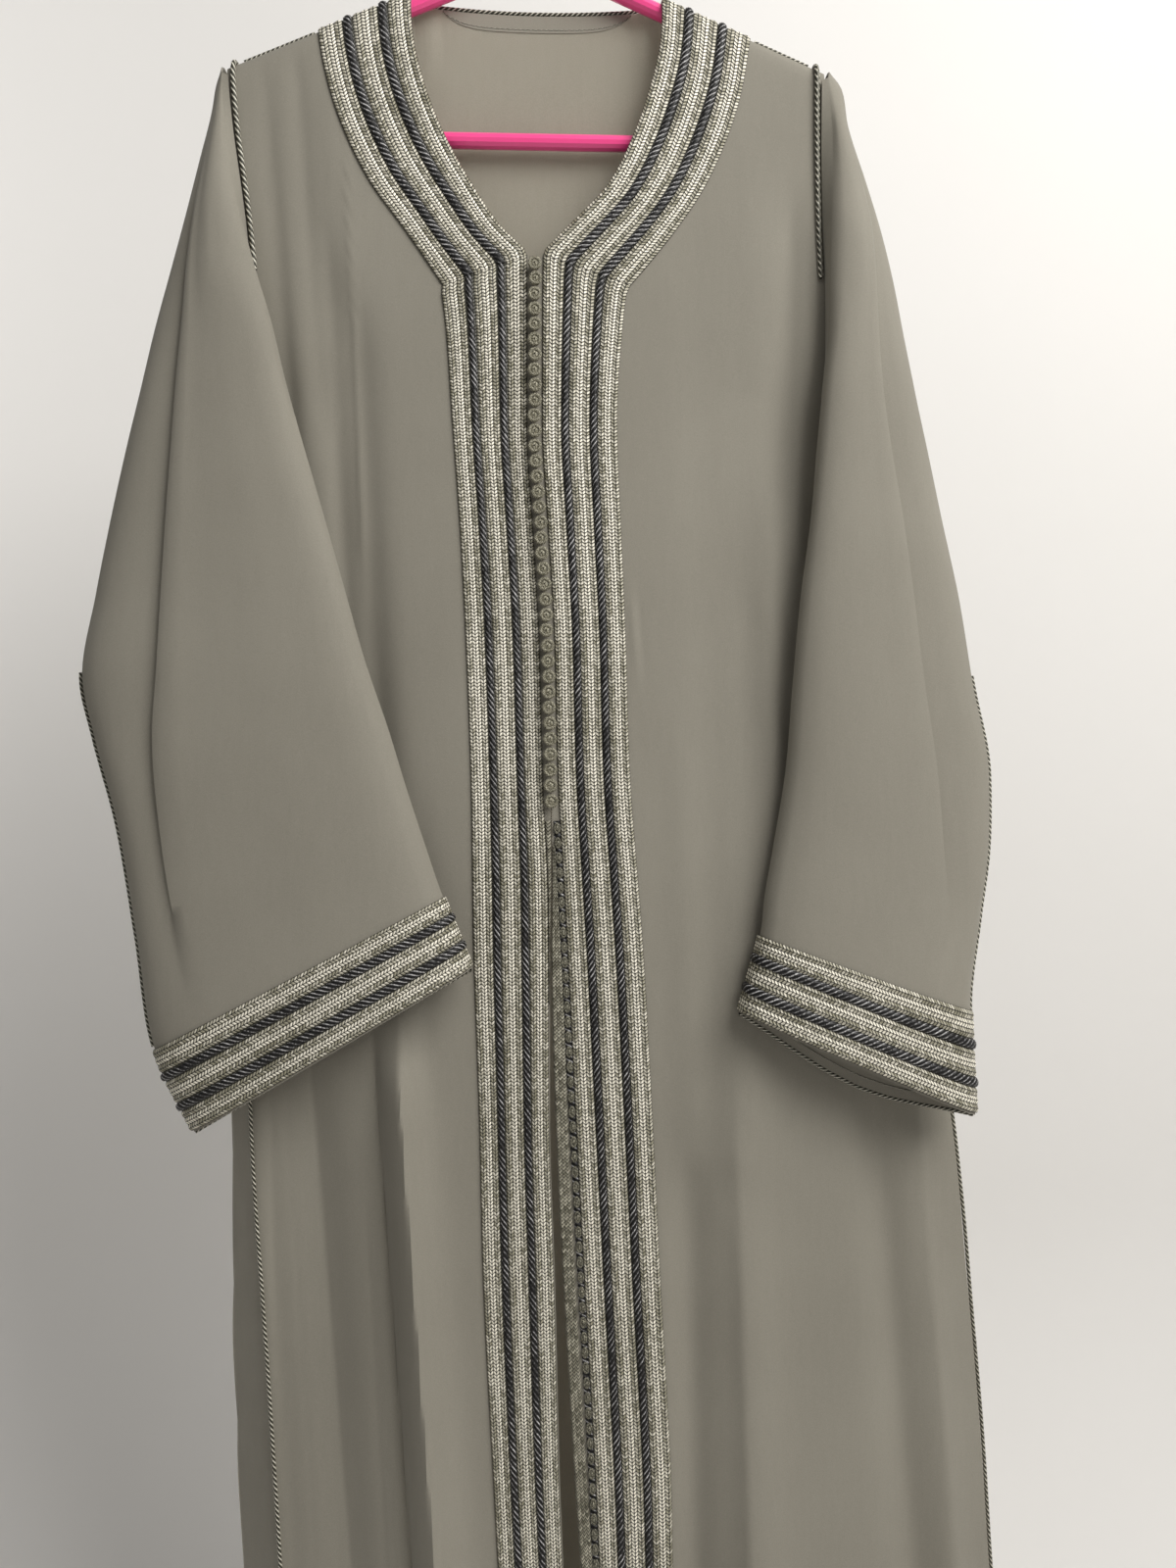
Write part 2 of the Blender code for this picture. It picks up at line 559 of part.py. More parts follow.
def on_row(line, share):
    """Front surface points at shares of a row."""
    flat = line[0] + (line[-1] - line[0]) * np.asarray(share)[:, None]
    flat[:, 1] = front_depth(flat[:, 0], flat[:, 2])
    return flat


def neck_reach(line, side):
    """Share along a row at which it meets the outer edge of the neck band."""
    share = np.linspace(0, 1, 401)
    flat = line[0] + (line[-1] - line[0]) * share[:, None]
    beyond = np.abs(flat[:, 0]) > np.abs(read(NECK, side + "_outer", flat[:, 2]))
    return share[np.argmax(beyond)]


def shoulder_row(sign, angle, inner_x, outer_x):
    """Points of a shoulder row of the front, on the drape over the hanger's arm."""
    x = inner_x + (outer_x - inner_x) * np.array(RIB_SHARE)
    turn = math.radians(angle)
    y = np.full_like(x, -DRAPE * math.sin(turn))
    return np.stack([x, y, arm_height(x) + DRAPE * math.cos(turn)], axis=1)


def outward(grid, towards):
    """Grid normals, all turned to the side of a direction."""
    normal = grid_normals(grid)
    flip = np.sign((normal * np.asarray(towards)).sum(axis=2, keepdims=True))
    flip[flip == 0] = 1
    return normal * flip


def make_front_bands(sign, panel, collection):
    """Neck band and front band of one side, mitred, on the front panel's own rows."""
    side = "left" if sign < 0 else "right"
    shares = np.array(RIB_SHARE)
    first = len(SHOULDER_ANGLES)
    mitre = first + MITRE_ROW
    neck = []
    for angle in SHOULDER_ANGLES:
        neck.append(shoulder_row(sign, angle, sign * NECK_HALF, float(read(NECK, side + "_outer", -100))))
    for k in range(first, mitre + 1):
        line = panel[k][[0, -1]]
        reach = neck_reach(line, side)
        start = row_share(line, float(read(FRONT, side + "_band", -264))) if k == mitre else 0.0
        neck.append(on_row(line, start + (reach - start) * shares))
    neck = np.array(neck)
    neck[-1, :, 2] += SEAM_GAP / 2
    towards = np.where(neck[..., 2:3] > -110, (0, -1, 0.4), (0, -1, 0))
    normals = outward(neck, towards)
    normals[0] = (0, -math.sin(math.radians(SHOULDER_ANGLES[0])), 1)
    gap = WALL / 2 + SEAM_GAP
    strip("neck_band_" + side, neck, normals, RIB_HEIGHT, gap, collection, "braid")
    front = []
    for k in range(mitre, len(panel)):
        line = panel[k][[0, -1]]
        height = line[0, 2]
        start = row_share(line, float(read(FRONT, side + "_band", height)))
        end = row_share(line, float(read(FRONT, side + "_outer", height)))
        if k == mitre:
            end = neck_reach(line, side)
        front.append(on_row(line, start + (end - start) * shares))
    front = np.array(front)
    front[0, :, 2] -= SEAM_GAP / 2
    strip("front_band_" + side, front, outward(front, (0, -1, 0)), RIB_HEIGHT, gap, collection, "braid")


def make_placket_strip(panel, collection):
    """Narrow braid on the right front's free edge, below the buttons."""
    rows = []
    for line in panel[len(SHOULDER_ANGLES):]:
        height = line[0, 2]
        if height > STRIP_TOP:
            continue
        edge = float(read(FRONT, "right_edge", height))
        band = float(read(FRONT, "right_band", height))
        width = min(STRIP_WIDTH, band - edge - SEAM_GAP - LOOP_ROOM)
        start = row_share(line[[0, -1]], edge + SEAM_GAP)
        end = row_share(line[[0, -1]], edge + SEAM_GAP + width)
        rows.append(on_row(line[[0, -1]], start + (end - start) * np.array(STRIP_SHARE)))
    grid = np.array(rows)
    strip("placket_strip_right", grid, outward(grid, (0, -1, 0)), STRIP_HEIGHT, WALL / 2 + SEAM_GAP,
          collection, "braid")


def make_placket_cord(panel, collection):
    """Cord of button loops beside the right front's band, below the buttons."""
    points = []
    for line in panel[len(SHOULDER_ANGLES):]:
        height = line[0, 2]
        if height > LOOP_TOP:
            continue
        x = float(read(FRONT, "right_band", height)) - LOOP_INSET
        points.append((x, float(front_depth(x, height)) - WALL / 2 - CORD_RADIUS - 0.1, height))
    cord("placket_cord_right", points, CORD_RADIUS, collection, "knots")


def make_cuff(sign, sleeve, collection):
    """Braid band round the sleeve's end, on the sleeve's own last two rows."""
    side = "left" if sign < 0 else "right"
    ring = sleeve[CUFF_ROW:CUFF_ROW + 2, :-1]
    shares = np.array(RIB_SHARE)[:, None, None]
    shares = CUFF_MARGIN + (1 - 2 * CUFF_MARGIN) * shares
    grid = (ring[0] + (ring[1] - ring[0]) * shares).transpose(1, 0, 2)
    normals = ring_normals(grid)
    strip("cuff_band_" + side, grid, normals, RIB_HEIGHT, WALL / 2 + CUFF_GAP, collection, "braid", True)


def ring_normals(grid):
    """Outward normals of a closed ring of rows, lengthened at its bends as a mitre is."""
    step = np.roll(grid, -1, axis=0) - grid
    across = np.gradient(grid, axis=1)
    face = np.cross(step, across)
    face /= np.linalg.norm(face, axis=2, keepdims=True)
    before = np.roll(face, 1, axis=0)
    normal = face + before
    normal /= np.linalg.norm(normal, axis=2, keepdims=True)
    spread = np.clip((normal * face).sum(axis=2, keepdims=True), 0.4, 1)
    normal = normal / spread
    front = int(np.argmin(grid[:, 0, 1]))
    return normal if normal[front, 0, 1] < 0 else -normal


def make_buttons(collection):
    """Knotted buttons in one column over the fronts' meeting edges."""
    step = (BUTTON_LOW - BUTTON_TOP) / (BUTTON_COUNT - 1)
    for k in range(BUTTON_COUNT):
        height = BUTTON_TOP + step * k
        x = 0.5 * float(read(FRONT, "left_edge", height) + read(FRONT, "right_edge", height))
        y = float(front_depth(x, height)) - WALL / 2 - BUTTON_GAP - BUTTON_RADIUS
        work = bmesh.new()
        bmesh.ops.create_uvsphere(work, u_segments=8, v_segments=4, radius=BUTTON_RADIUS * MM)
        mesh = bpy.data.meshes.new("button")
        work.to_mesh(mesh)
        work.free()
        obj = add_object("button_%02d" % (k + 1), mesh, collection, "knots")
        obj.location = (x * MM, y * MM, height * MM)


def make_facing(collection):
    """Narrow turned strip inside the back neck."""
    x = np.linspace(-FACING_HALF, FACING_HALF, 13)
    top = BACK_NECK_LOW + BACK_NECK_RISE * (x / NECK_HALF) ** 2 - 0.5
    depth = np.full_like(x, BACK_NECK_DEPTH - WALL / 2 - 0.9)
    rows = []
    for drop in (0.0, FACING_DROP / 2, FACING_DROP):
        rows.append(np.stack([x, depth, top - drop], axis=1))
    grid = np.array(rows)
    normal = np.zeros_like(grid)
    normal[..., 1] = -1
    strip("back_neck_facing", grid, normal, np.full(len(x), FACING_WALL), 0.0, collection, "crepe")


def make_piping(sleeves, back, collection):
    """Cords on the back neck, shoulders, armholes, sides and sleeve edges."""
    rise = WALL / 2 + CORD_GAP + CORD_RADIUS
    x = np.linspace(-78, 78, 15)
    neck = BACK_NECK_LOW + BACK_NECK_RISE * (x / NECK_HALF) ** 2 + SEAM_GAP + CORD_RADIUS
    depth = np.full_like(x, BACK_NECK_DEPTH + 0.1)
    cord("back_neck_cord", np.stack([x, depth, neck], axis=1), CORD_RADIUS, collection, "piping")
    for sign, side, sleeve in ((-1, "left", sleeves[0]), (1, "right", sleeves[1])):
        seam_top = float(read(SIDE, side + "_seam", -131))
        start = float(read(NECK, side + "_outer", -95)) + sign * 2.5
        x = np.linspace(start, seam_top - sign * 10.0, 6)
        ridge = arm_height(x) + DRAPE + rise - SHOULDER_SINK
        cord("shoulder_cord_" + side, np.stack([x, np.zeros_like(x), ridge], axis=1),
             CORD_RADIUS, collection, "piping")
        make_armhole_cord(sign, side, sleeve, rise, collection)
        if sign < 0:
            heights = np.array([-700, -740, -800, -850, -905, -962, -1096, -1240, -1400, HEM_HEIGHT + 1])
            x = read(SIDE, "left_seam", heights) + 2.0
            y = read(SIDE, "left_depth", heights) - rise - 0.6
        else:
            edge = back[len(SHOULDER_ANGLES) + BACK_FOLD_ROW:]
            fold = edge[np.arange(len(edge)), np.argmax(edge[:, :, 0], axis=1)]
            x, y, heights = fold.T
            x = x + rise
        cord("side_cord_" + side, np.stack([x, y, heights], axis=1), CORD_RADIUS, collection, "piping")
        outer = sleeve["outer_x"][11:16] + sign * (rise - 0.2)
        points = np.stack([outer, sleeve["outer_y"][11:16], sleeve["outer_z"][11:16]], axis=1)
        points[-1] = points[-2] + (points[-1] - points[-2]) * 0.9
        cord("sleeve_cord_" + side, points, CORD_RADIUS, collection, "piping")


def make_armhole_cord(sign, side, sleeve, rise, collection):
    """Cord beside the sleeve's seam: up the front armhole, over the shoulder, down the back."""
    inset = WALL / 2 + SEAM_GAP + CORD_RADIUS + 0.6
    depth = "left_depth" if sign < 0 else "front_depth"
    seam_x = sleeve["seam_x"] - sign * inset
    seam_z = sleeve["seam_z"]
    points = []
    for k in (4, 3, 2, 1):
        points.append((seam_x[k], float(read(SIDE, depth, seam_z[k])) - rise, seam_z[k]))
    for angle in (90, 60, 30, 0, -30, -60, -90):
        turn = math.radians(angle)
        radius = DRAPE + rise
        points.append((seam_x[0], -radius * math.sin(turn), arm_height(seam_x[0]) + radius * math.cos(turn)))
    for k in (1, 2, 3, 4, 5):
        points.append((seam_x[k], rise + 1.2 - float(read(SIDE, depth, seam_z[k])), seam_z[k]))
    cord("armhole_cord_" + side, points, CORD_RADIUS, collection, "piping")


def build():
    """Build the whole part."""
    for obj in list(bpy.data.objects):
        bpy.data.objects.remove(obj)
    collection = bpy.data.collections.new("moroccan_kaftan")
    bpy.context.scene.collection.children.link(collection)
    make_hanger(collection)
    for sign, side in ((-1, "left"), (1, "right")):
        panel = front_point_rows(sign)
        cloth("front_" + side, panel, collection)
        make_front_bands(sign, panel, collection)
        if sign > 0:
            make_placket_strip(panel, collection)
            make_placket_cord(panel, collection)
    back = back_point_rows()
    cloth("back", back, collection)
    make_facing(collection)
    for sign, side, rows in ((-1, "left", LEFT_SLEEVE), (1, "right", RIGHT_SLEEVE)):
        sleeve = sleeve_point_rows(rows)
        cloth("sleeve_" + side, sleeve, collection)
        make_cuff(sign, sleeve, collection)
    make_buttons(collection)
    make_piping((LEFT_SLEEVE, RIGHT_SLEEVE), back, collection)


build()
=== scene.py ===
"""Looks of a moroccan kaftan on a plastic hanger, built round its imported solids.

X runs to the viewer's right, -Y to the front and +Z up. The tables are in millimetres, as the
part's own are, and each mesh is turned into metres when it is made.
"""
import math

import bpy
import numpy as np
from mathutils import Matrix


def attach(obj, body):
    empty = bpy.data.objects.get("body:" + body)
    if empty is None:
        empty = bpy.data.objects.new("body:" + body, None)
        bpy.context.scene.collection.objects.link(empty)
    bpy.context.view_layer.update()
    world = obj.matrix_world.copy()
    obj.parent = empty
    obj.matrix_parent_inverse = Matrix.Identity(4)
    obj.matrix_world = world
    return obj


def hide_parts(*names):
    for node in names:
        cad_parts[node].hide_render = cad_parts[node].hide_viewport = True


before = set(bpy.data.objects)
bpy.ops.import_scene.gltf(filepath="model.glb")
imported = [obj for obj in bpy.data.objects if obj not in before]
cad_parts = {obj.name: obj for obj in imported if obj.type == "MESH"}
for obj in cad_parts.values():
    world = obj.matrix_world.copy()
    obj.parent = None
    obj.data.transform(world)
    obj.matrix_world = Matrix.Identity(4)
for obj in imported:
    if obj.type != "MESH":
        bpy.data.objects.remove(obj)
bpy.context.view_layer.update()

MM = 0.001
BODY = "root"

# Sizes shared with the solids
WALL = 1.6
SEAM_GAP = 0.4
LAP = 2.0
ARMPIT_HEIGHT = -380.0
HEM_HEIGHT = -1485.0
TUBE_RADIUS = 5.35
APEX_HEIGHT = -48.5
ARM_SLOPE = 0.43
NECK_HALF = 87.0
BACK_NECK_LOW = -84.0
BACK_NECK_RISE = 5.0
BACK_NECK_DEPTH = 9.8
DRAPE = TUBE_RADIUS + WALL / 2 + 1.15
SHOULDER_ANGLES = (7.5, 48.0, 90.0)
BUTTON_COUNT = 36
BUTTON_RADIUS = 5.0
BUTTON_TOP = -272.0
BUTTON_LOW = -639.0
CORD_RADIUS = 1.4
ARMHOLE_RADIUS = 1.8
SIDE_TURN = 0.3
BACK_FOLD_ROW = 7
FADE_LENGTH = 80.0

# Sizes that only the looks have
STRIP_TOP = -668.0
EDGE_STRIP_LOW = -780.0
STRIP_WIDTH = 8.0
LOOP_TOP = -648.0
LOOP_INSET = 2.5
LOOP_ROOM = 4.6
LOOP_PITCH = 10.0
FACING_HALF = 68.0
FACING_DROP = 12.0
SLEEVE_CORD_TOP = -550.0
SLEEVE_CORD_LOW = -805.0
STITCH_RISES = (6.0, 17.0)
STITCH_RADIUS = 0.3
BRAID_RISE = 1.15
COLUMN_RISE = 0.55
BED_RISE = 0.7
BRAID_GAP = 0.25
CORD_RISE = 1.35
CORD_HALF_HEIGHT = 1.6
LOOP_REACH = (1.5, 3.2)
LOOP_RADIUS = 0.85
LOOP_RISE = 2.2
LOOP_KNOT_RADIUS = 1.4
LOOP_KNOT_STRETCH = (1.0, 0.9, 1.5)
LOOP_BED_HALF = (2.4, 0.7)
LOOP_BED_RISE = 0.9
KNOT_RADIUS = 4.1
KNOT_RELIEF = 0.14
KNOT_RING = 3.5
KNOT_RING_RADIUS = 1.35
KNOT_SHIFT = 0.35
CLOTH = 1.2
FINE_STEP = 5.6
STITCH = 2.4
TWIST_PITCH = 4.2
PIPING_PITCH = 3.6
TWIST_STEPS = 5
LOOP_TWIST = 3.4
RING_TWIST = 3.7


def table(names, rows):
    """Named columns from rows, in millimetres or shares."""
    return dict(zip(names.split(), np.array(rows, float).T))


NECK = table("height left_inner right_inner left_outer right_outer", [
    (-80, -87.3, 87.3, -153.0, 152.0),
    (-115, -84.6, 85.2, -149.7, 147.6),
    (-149, -76.0, 76.8, -142.6, 141.6),
    (-181, -63.1, 65.4, -131.5, 131.3),
    (-215, -44.3, 47.7, -114.0, 115.5),
    (-243, -25.5, 21.5, -93.7, 97.0),
    (-264, -5.5, 3.2, -79.0, 81.0),
    (-287, -1.6, -0.9, -63.5, 62.0),
])
FRONT = table("height left_outer left_band left_edge right_edge right_band right_outer", [
    (-264, -66.0, -6.8, -1.6, -0.9, 4.4, 62.5),
    (-290, -63.0, -6.8, -1.6, -0.9, 4.2, 59.7),
    (-380, -57.5, -6.8, -1.8, -1.1, 3.9, 55.1),
    (-450, -52.4, -3.0, 2.0, 2.7, 7.7, 57.5),
    (-520, -48.5, 1.2, 6.2, 6.9, 11.9, 60.4),
    (-630, -44.2, 4.2, 9.2, 9.9, 14.9, 63.8),
    (-690, -43.2, 7.1, 9.8, 10.5, 18.2, 68.4),
    (-740, -42.3, 7.9, 9.0, 9.8, 21.0, 72.1),
    (-850, -38.4, 8.2, 9.0, 12.4, 26.4, 78.0),
    (-962, -35.5, 11.6, 12.4, 17.6, 32.3, 83.2),
    (-1096, -28.5, 14.9, 15.7, 25.5, 39.7, 90.0),
    (-1163, -24.9, 17.6, 18.4, 30.0, 42.7, 91.3),
    (-1485, -12.0, 27.0, 27.8, 44.0, 58.0, 106.0),
])
SIDE = table("height left_seam right_seam left_fold right_fold front_depth left_depth", [
    (-130, -213.0, 201.0, -213.0, 201.0, -7.6, -7.6),
    (-170, -209.6, 200.2, -209.6, 200.2, -8.0, -8.0),
    (-200, -206.2, 200.3, -206.2, 200.3, -8.2, -8.2),
    (-230, -202.0, 201.0, -202.0, 201.0, -8.4, -8.4),
    (-260, -197.8, 202.5, -197.8, 202.5, -8.5, -8.5),
    (-320, -193.5, 203.0, -193.5, 203.0, -7.0, -7.0),
    (-380, -192.0, 203.0, -193.0, 204.0, -1.1, -1.1),
    (-500, -194.0, 215.0, -196.0, 217.0, -1.1, -1.1),
    (-620, -197.0, 236.0, -202.0, 238.0, -1.1, -3.0),
    (-700, -198.5, 258.0, -208.0, 260.0, -1.1, -6.0),
    (-860, -196.0, 292.0, -214.0, 294.0, -1.5, -15.0),
    (-970, -188.0, 303.0, -213.5, 305.0, -2.0, -18.0),
    (-1070, -180.5, 312.0, -211.0, 314.5, -2.0, -20.0),
    (-1180, -173.0, 319.5, -206.0, 322.0, -2.0, -22.0),
    (-1485, -158.0, 341.0, -197.0, 344.0, -2.0, -25.0),
])
DEPTH = table("height front back", [
    (-80, -8.3, 9.8),
    (-115, -8.8, 10.0),
    (-181, -10.5, 10.5),
    (-264, -13.5, 11.5),
    (-380, -17.0, 13.5),
    (-520, -22.0, 17.0),
    (-700, -28.0, 21.0),
    (-1000, -35.0, 27.0),
    (-1485, -44.0, 34.0),
])
FRONT_ROWS = table("inner outer", [
    (-115, -172), (-149, -205), (-181, -238), (-215, -272), (-243, -303), (-264, -331),
    (-318, -356), (-380, -386), (-450, -450), (-520, -520), (-630, -630), (-690, -690),
    (-740, -740), (-800, -800), (-850, -850), (-905, -905), (-962, -962), (-1030, -1030), (-1096, -1096),
    (-1163, -1163), (-1240, -1240), (-1320, -1320), (-1400, -1400), (HEM_HEIGHT, HEM_HEIGHT),
])
BACK_TOP_X = (0, 25, 46, 61, 71, 77, 81, 84.5, 88, 104, 128, 155, 183)
BACK_ROWS = table("middle outer", [
    (-118, -168), (-155, -203), (-198, -240), (-242, -276), (-290, -316), (-335, -350), (-380, -385),
    (-445, -445), (-520, -520), (-600, -600), (-680, -680), (-760, -760), (-840, -840), (-920, -920),
    (-1005, -1005), (-1090, -1090), (-1180, -1180), (-1280, -1280), (-1380, -1380), (HEM_HEIGHT, HEM_HEIGHT),
])

# Long soft folds: a line from high to low, half its width, and its depth at both ends
FOLD_NAMES = "high_x high low_x low width high_depth low_depth"
FRONT_FOLDS = table(FOLD_NAMES, [
    (-124, -340, -109, -600, 13, 4.5, 5.5),
    (-150, -880, -98, -1485, 18, 5, 7),
    (-90, -850, -40, -1485, 16, -8, -14),
    (-185, -930, -150, -1485, 12, 3, 6),
    (104, -930, 112, -1485, 13, 7, 11),
    (144, -960, 160, -1485, 18, -5, -9),
    (236, -880, 286, -1485, 15, 7, 10),
    (150, -560, 150, -740, 14, 3, 3),
    (285, -1000, 312, -1485, 13, -3, -6),
])
BACK_FOLDS = table(FOLD_NAMES, [
    (-120, -260, -135, -1485, 22, 3, 13),
    (-40, -420, -62, -1485, 20, -3, -12),
    (35, -300, 40, -1485, 22, 3, 12),
    (120, -340, 150, -1485, 22, -3, -11),
    (175, -560, 240, -1485, 22, 3, 12),
])
# Small creases that only the cloth has, as above
FRONT_CREASES = table(FOLD_NAMES, [
    (66, -520, 74, -548, 3.0, -0.9, -0.7),
    (74, -526, 84, -545, 2.5, 0.8, 0.6),
    (112, -536, 128, -548, 3.0, -0.9, -0.6),
    (-140, -200, -128, -420, 9, -0.9, -1.1),
    (-166, -120, -150, -340, 6, 0.9, 1.2),
    (-176, -200, -160, -400, 7, -1.0, -1.2),
    (-141, -300, -127, -600, 9, 3.0, 5.0),
    (110, -250, 118, -560, 16, 0.8, 1.0),
    (150, -240, 160, -520, 13, -0.8, -1.0),
    (178, -260, 172, -560, 9, 2.0, 3.5),
    (-80, -700, -66, -1200, 10, 1.2, 1.6),
    (172, -470, 140, -850, 24, -6.0, -9.0),
    (-182, -190, -168, -400, 10, 1.6, 2.2),
    (100, -640, 112, -1200, 12, -1.5, -2.0),
    (-96, -900, -66, -1380, 2.4, 0.8, 0.9),
    (-104, -940, -76, -1400, 2.2, -0.7, -0.8),
    (-112, -960, -84, -1440, 2.6, 0.7, 0.8),
])
# Pressed creases and crests: sharp lines, as above, with another width on their right
FRONT_CRESTS = table(FOLD_NAMES + " right_width", [
    (-182, -850, -163, -1485, 6, 4.0, 7.0, 40),
    (-152, -850, -100, -1485, 8, 3.0, 4.5, 18),
    (-106, -850, -57, -1485, 9, 9.0, 14.0, 5),
    (-88, -850, -38, -1485, 17, -16.0, -21.0, 12),
    (-129, -235, -121, -430, 3.5, -1.4, -2.4, 16),
    (136, -900, 152, -1485, 12, -4.0, -6.5, 22),
    (268, -880, 316, -1485, 10, -3.0, -5.0, 8),
])

SLEEVE_NAMES = ("seam_x seam_z seam_front seam_back inner_x inner_z inner_y outer_x outer_z outer_y "
                "bulge round crease pleat")
LEFT_SLEEVE = table(SLEEVE_NAMES, [
    (-211.5, -141.8, -10.4, 10.4, -215.5, -139.8, -10.2, -217.2, -130.5, 0, 2, 0, 0.72, 0),
    (-210.2, -158, -10.9, 10.9, -215.2, -156.0, -12.0, -221.6, -143, 0, 3.5, 0, 0.72, 0),
    (-208.0, -180, -10.9, 10.9, -213.0, -178, -14.5, -224.0, -164, -3, 6, 0, 0.72, 0),
    (-204.2, -208, -11.0, 11.0, -209.0, -207, -18, -231.5, -199, -6, 9, 0, 0.74, 0.2),
    (-199.9, -240, -11.1, 11.1, -201.5, -240, -22, -241.0, -240, -8, 12, 0, 0.76, 0.6),
    (-196.4, -275, -11.2, 11.2, -191.5, -275, -24, -250.0, -275, -9, 14, 0, 0.745, 0.9),
    (-193.2, -318, -10.4, 10.4, -178.5, -318, -26, -260.5, -318, -10, 15, 2, 0.715, 1),
    (-191.8, -357, -6.8, 6.8, -169.0, -357, -28, -268.5, -357, -12, 16, 3, 0.71, 1),
    (-198.5, -396, -7.5, -7.5, -158.0, -396, -30, -278.0, -396, -12, 17, 3, 0.70, 1),
    (-205.0, -445, -9.0, -9.0, -143.7, -445, -31.5, -288.5, -445, -12, 18, 4, 0.70, 1),
    (-205.0, -500, -11.0, -11.0, -128.0, -500, -33.5, -299.5, -500, -12, 19, 4, 0.70, 1),
    (-205.0, -548, -13.0, -13.0, -115.0, -545, -35.5, -307.5, -552, -15, 20, 4, 0.70, 1),
    (-200.0, -593, -15.5, -15.5, -99.5, -590, -37.5, -298.0, -596, -18, 20, 4, 0.77, 1),
    (-190.0, -643, -20.0, -20.0, -87.0, -630, -40, -280.5, -655, -23, 20, 4, 0.83, 0.7),
    (-175.0, -698, -25.0, -25.0, -74.5, -667, -43, -266.0, -730, -28, 20, 4, 0.84, 0.3),
    (-165.0, -755, -30.0, -30.0, -62.4, -701.4, -46, -253.0, -802, -33, 20, 4, 0.80, 0),
    (-142.0, -808, -33.0, -33.0, -43.3, -748.8, -48, -226.0, -857, -36, 20, 4, 0.80, 0),
])
RIGHT_SLEEVE = table(SLEEVE_NAMES, [
    (198.6, -137, -10.4, 10.4, 202.8, -135.0, -10.2, 205.5, -125.0, 0, 2, 0, 0.72, 0),
    (198.4, -156, -10.9, 10.9, 204.5, -153, -12.5, 214.5, -137, 0, 3.5, 0, 0.72, 0),
    (198.4, -180, -10.9, 10.9, 206.0, -178, -15.5, 218.5, -166, -3, 7, 0, 0.72, 0),
    (198.8, -208, -11.0, 11.0, 205.5, -208, -19, 230.0, -205, -6, 9, 0, 0.74, 0.2),
    (199.5, -240, -11.1, 11.1, 203.5, -241, -23, 240.0, -240, -8, 12, 0, 0.72, 0.5),
    (201.0, -275, -11.2, 11.2, 202.0, -276, -24, 248.5, -275, -9, 13, 0, 0.64, 0.8),
    (201.6, -318, -10.4, 10.4, 200.5, -318, -25, 256.0, -318, -10, 14, 2, 0.58, 1),
    (202.2, -357, -6.8, 6.8, 196.0, -357, -26, 263.0, -357, -12, 15, 3, 0.58, 1),
    (211.5, -396, -7.0, -7.0, 192.0, -396, -27, 271.5, -396, -12, 16, 3, 0.60, 1),
    (222.0, -445, -8.5, -8.5, 187.5, -445, -28.5, 281.5, -445, -12, 17, 4, 0.64, 1),
    (232.0, -500, -10.0, -10.0, 180.0, -500, -30, 293.7, -500, -12, 18, 4, 0.66, 1),
    (240.0, -558, -12.0, -12.0, 174.3, -558, -31.5, 302.5, -558, -14, 19, 4, 0.68, 1),
    (243.0, -620, -14.0, -14.0, 169.0, -618, -33, 313.0, -622, -16.5, 20, 4, 0.70, 1),
    (240.0, -671, -17.0, -17.0, 160.5, -668, -35, 311.0, -674, -20, 20, 4, 0.75, 1),
    (232.0, -712, -21.0, -21.0, 154.0, -702, -37.5, 303.5, -720, -24, 20, 4, 0.82, 0.6),
    (224.0, -754, -26.0, -26.0, 150.5, -728, -40, 295.0, -780, -29, 20, 4, 0.80, 0),
    (219.0, -833, -29.0, -29.0, 135.6, -780, -42, 297.5, -852, -32, 20, 4, 0.80, 0),
])
UNDER_STEPS = 4
OUTER_STEPS = 6
CREASE_SHARES = (0.0, 0.014, 0.07, 0.2, 0.4, 0.6, 0.8, 1.0)
FULL_ROUND = 4.0
PAST_CREASE_SHARES = (0.35, 0.72, 0.95, 1.0)
PLEAT_RETURN = 0.05
PLEAT_DEPTH = 5.0
CUFF_ROW = 15

# Braid layout across a band: flat braids between beds that hold the twisted cords
BRAIDS = table("start end columns", [
    (0.0, 0.25, 3),
    (0.36, 0.63, 3),
    (0.74, 1.0, 3),
])
CORD_SHARES = (0.305, 0.685)
CORD_SHARE = 0.048
STRIP_BRAIDS = table("start end columns", [(0.0, 1.0, 3)])
EDGE_BRAIDS = table("start end columns", [(0.0, 1.0, 1)])


# Curves and surfaces

def smooth(x, y, at):
    """Monotone cubic through (x, y), at given positions. y may have further axes.

    Hermite form h00 y0 + h10 w m0 + h01 y1 + h11 w m1, with m the mean of the two slopes,
    held to 3 times the smaller one and to 0 at a turning point.
    """
    x = np.asarray(x, float)
    y = np.asarray(y, float)
    at = np.clip(np.asarray(at, float), x[0], x[-1])
    wide = (slice(None),) + (None,) * (y.ndim - 1)
    slope = np.diff(y, axis=0) / np.diff(x)[wide]
    tangent = np.concatenate([slope[:1], 0.5 * (slope[:-1] + slope[1:]), slope[-1:]])
    least = np.minimum(np.abs(slope[:-1]), np.abs(slope[1:])) * 3
    middle = np.sign(tangent[1:-1]) * np.minimum(np.abs(tangent[1:-1]), least)
    tangent[1:-1] = np.where(slope[:-1] * slope[1:] > 0, middle, 0)
    k = np.clip(np.searchsorted(x, at, side="right") - 1, 0, len(x) - 2)
    width = x[k + 1] - x[k]
    t = (at - x[k]) / width
    fit = at.shape + (1,) * (y.ndim - 1)
    t = t.reshape(fit)
    width = width.reshape(fit)
    start = (1 + 2 * t) * (1 - t) ** 2 * y[k] + t * (1 - t) ** 2 * width * tangent[k]
    return start + t * t * (3 - 2 * t) * y[k + 1] + t * t * (t - 1) * width * tangent[k + 1]


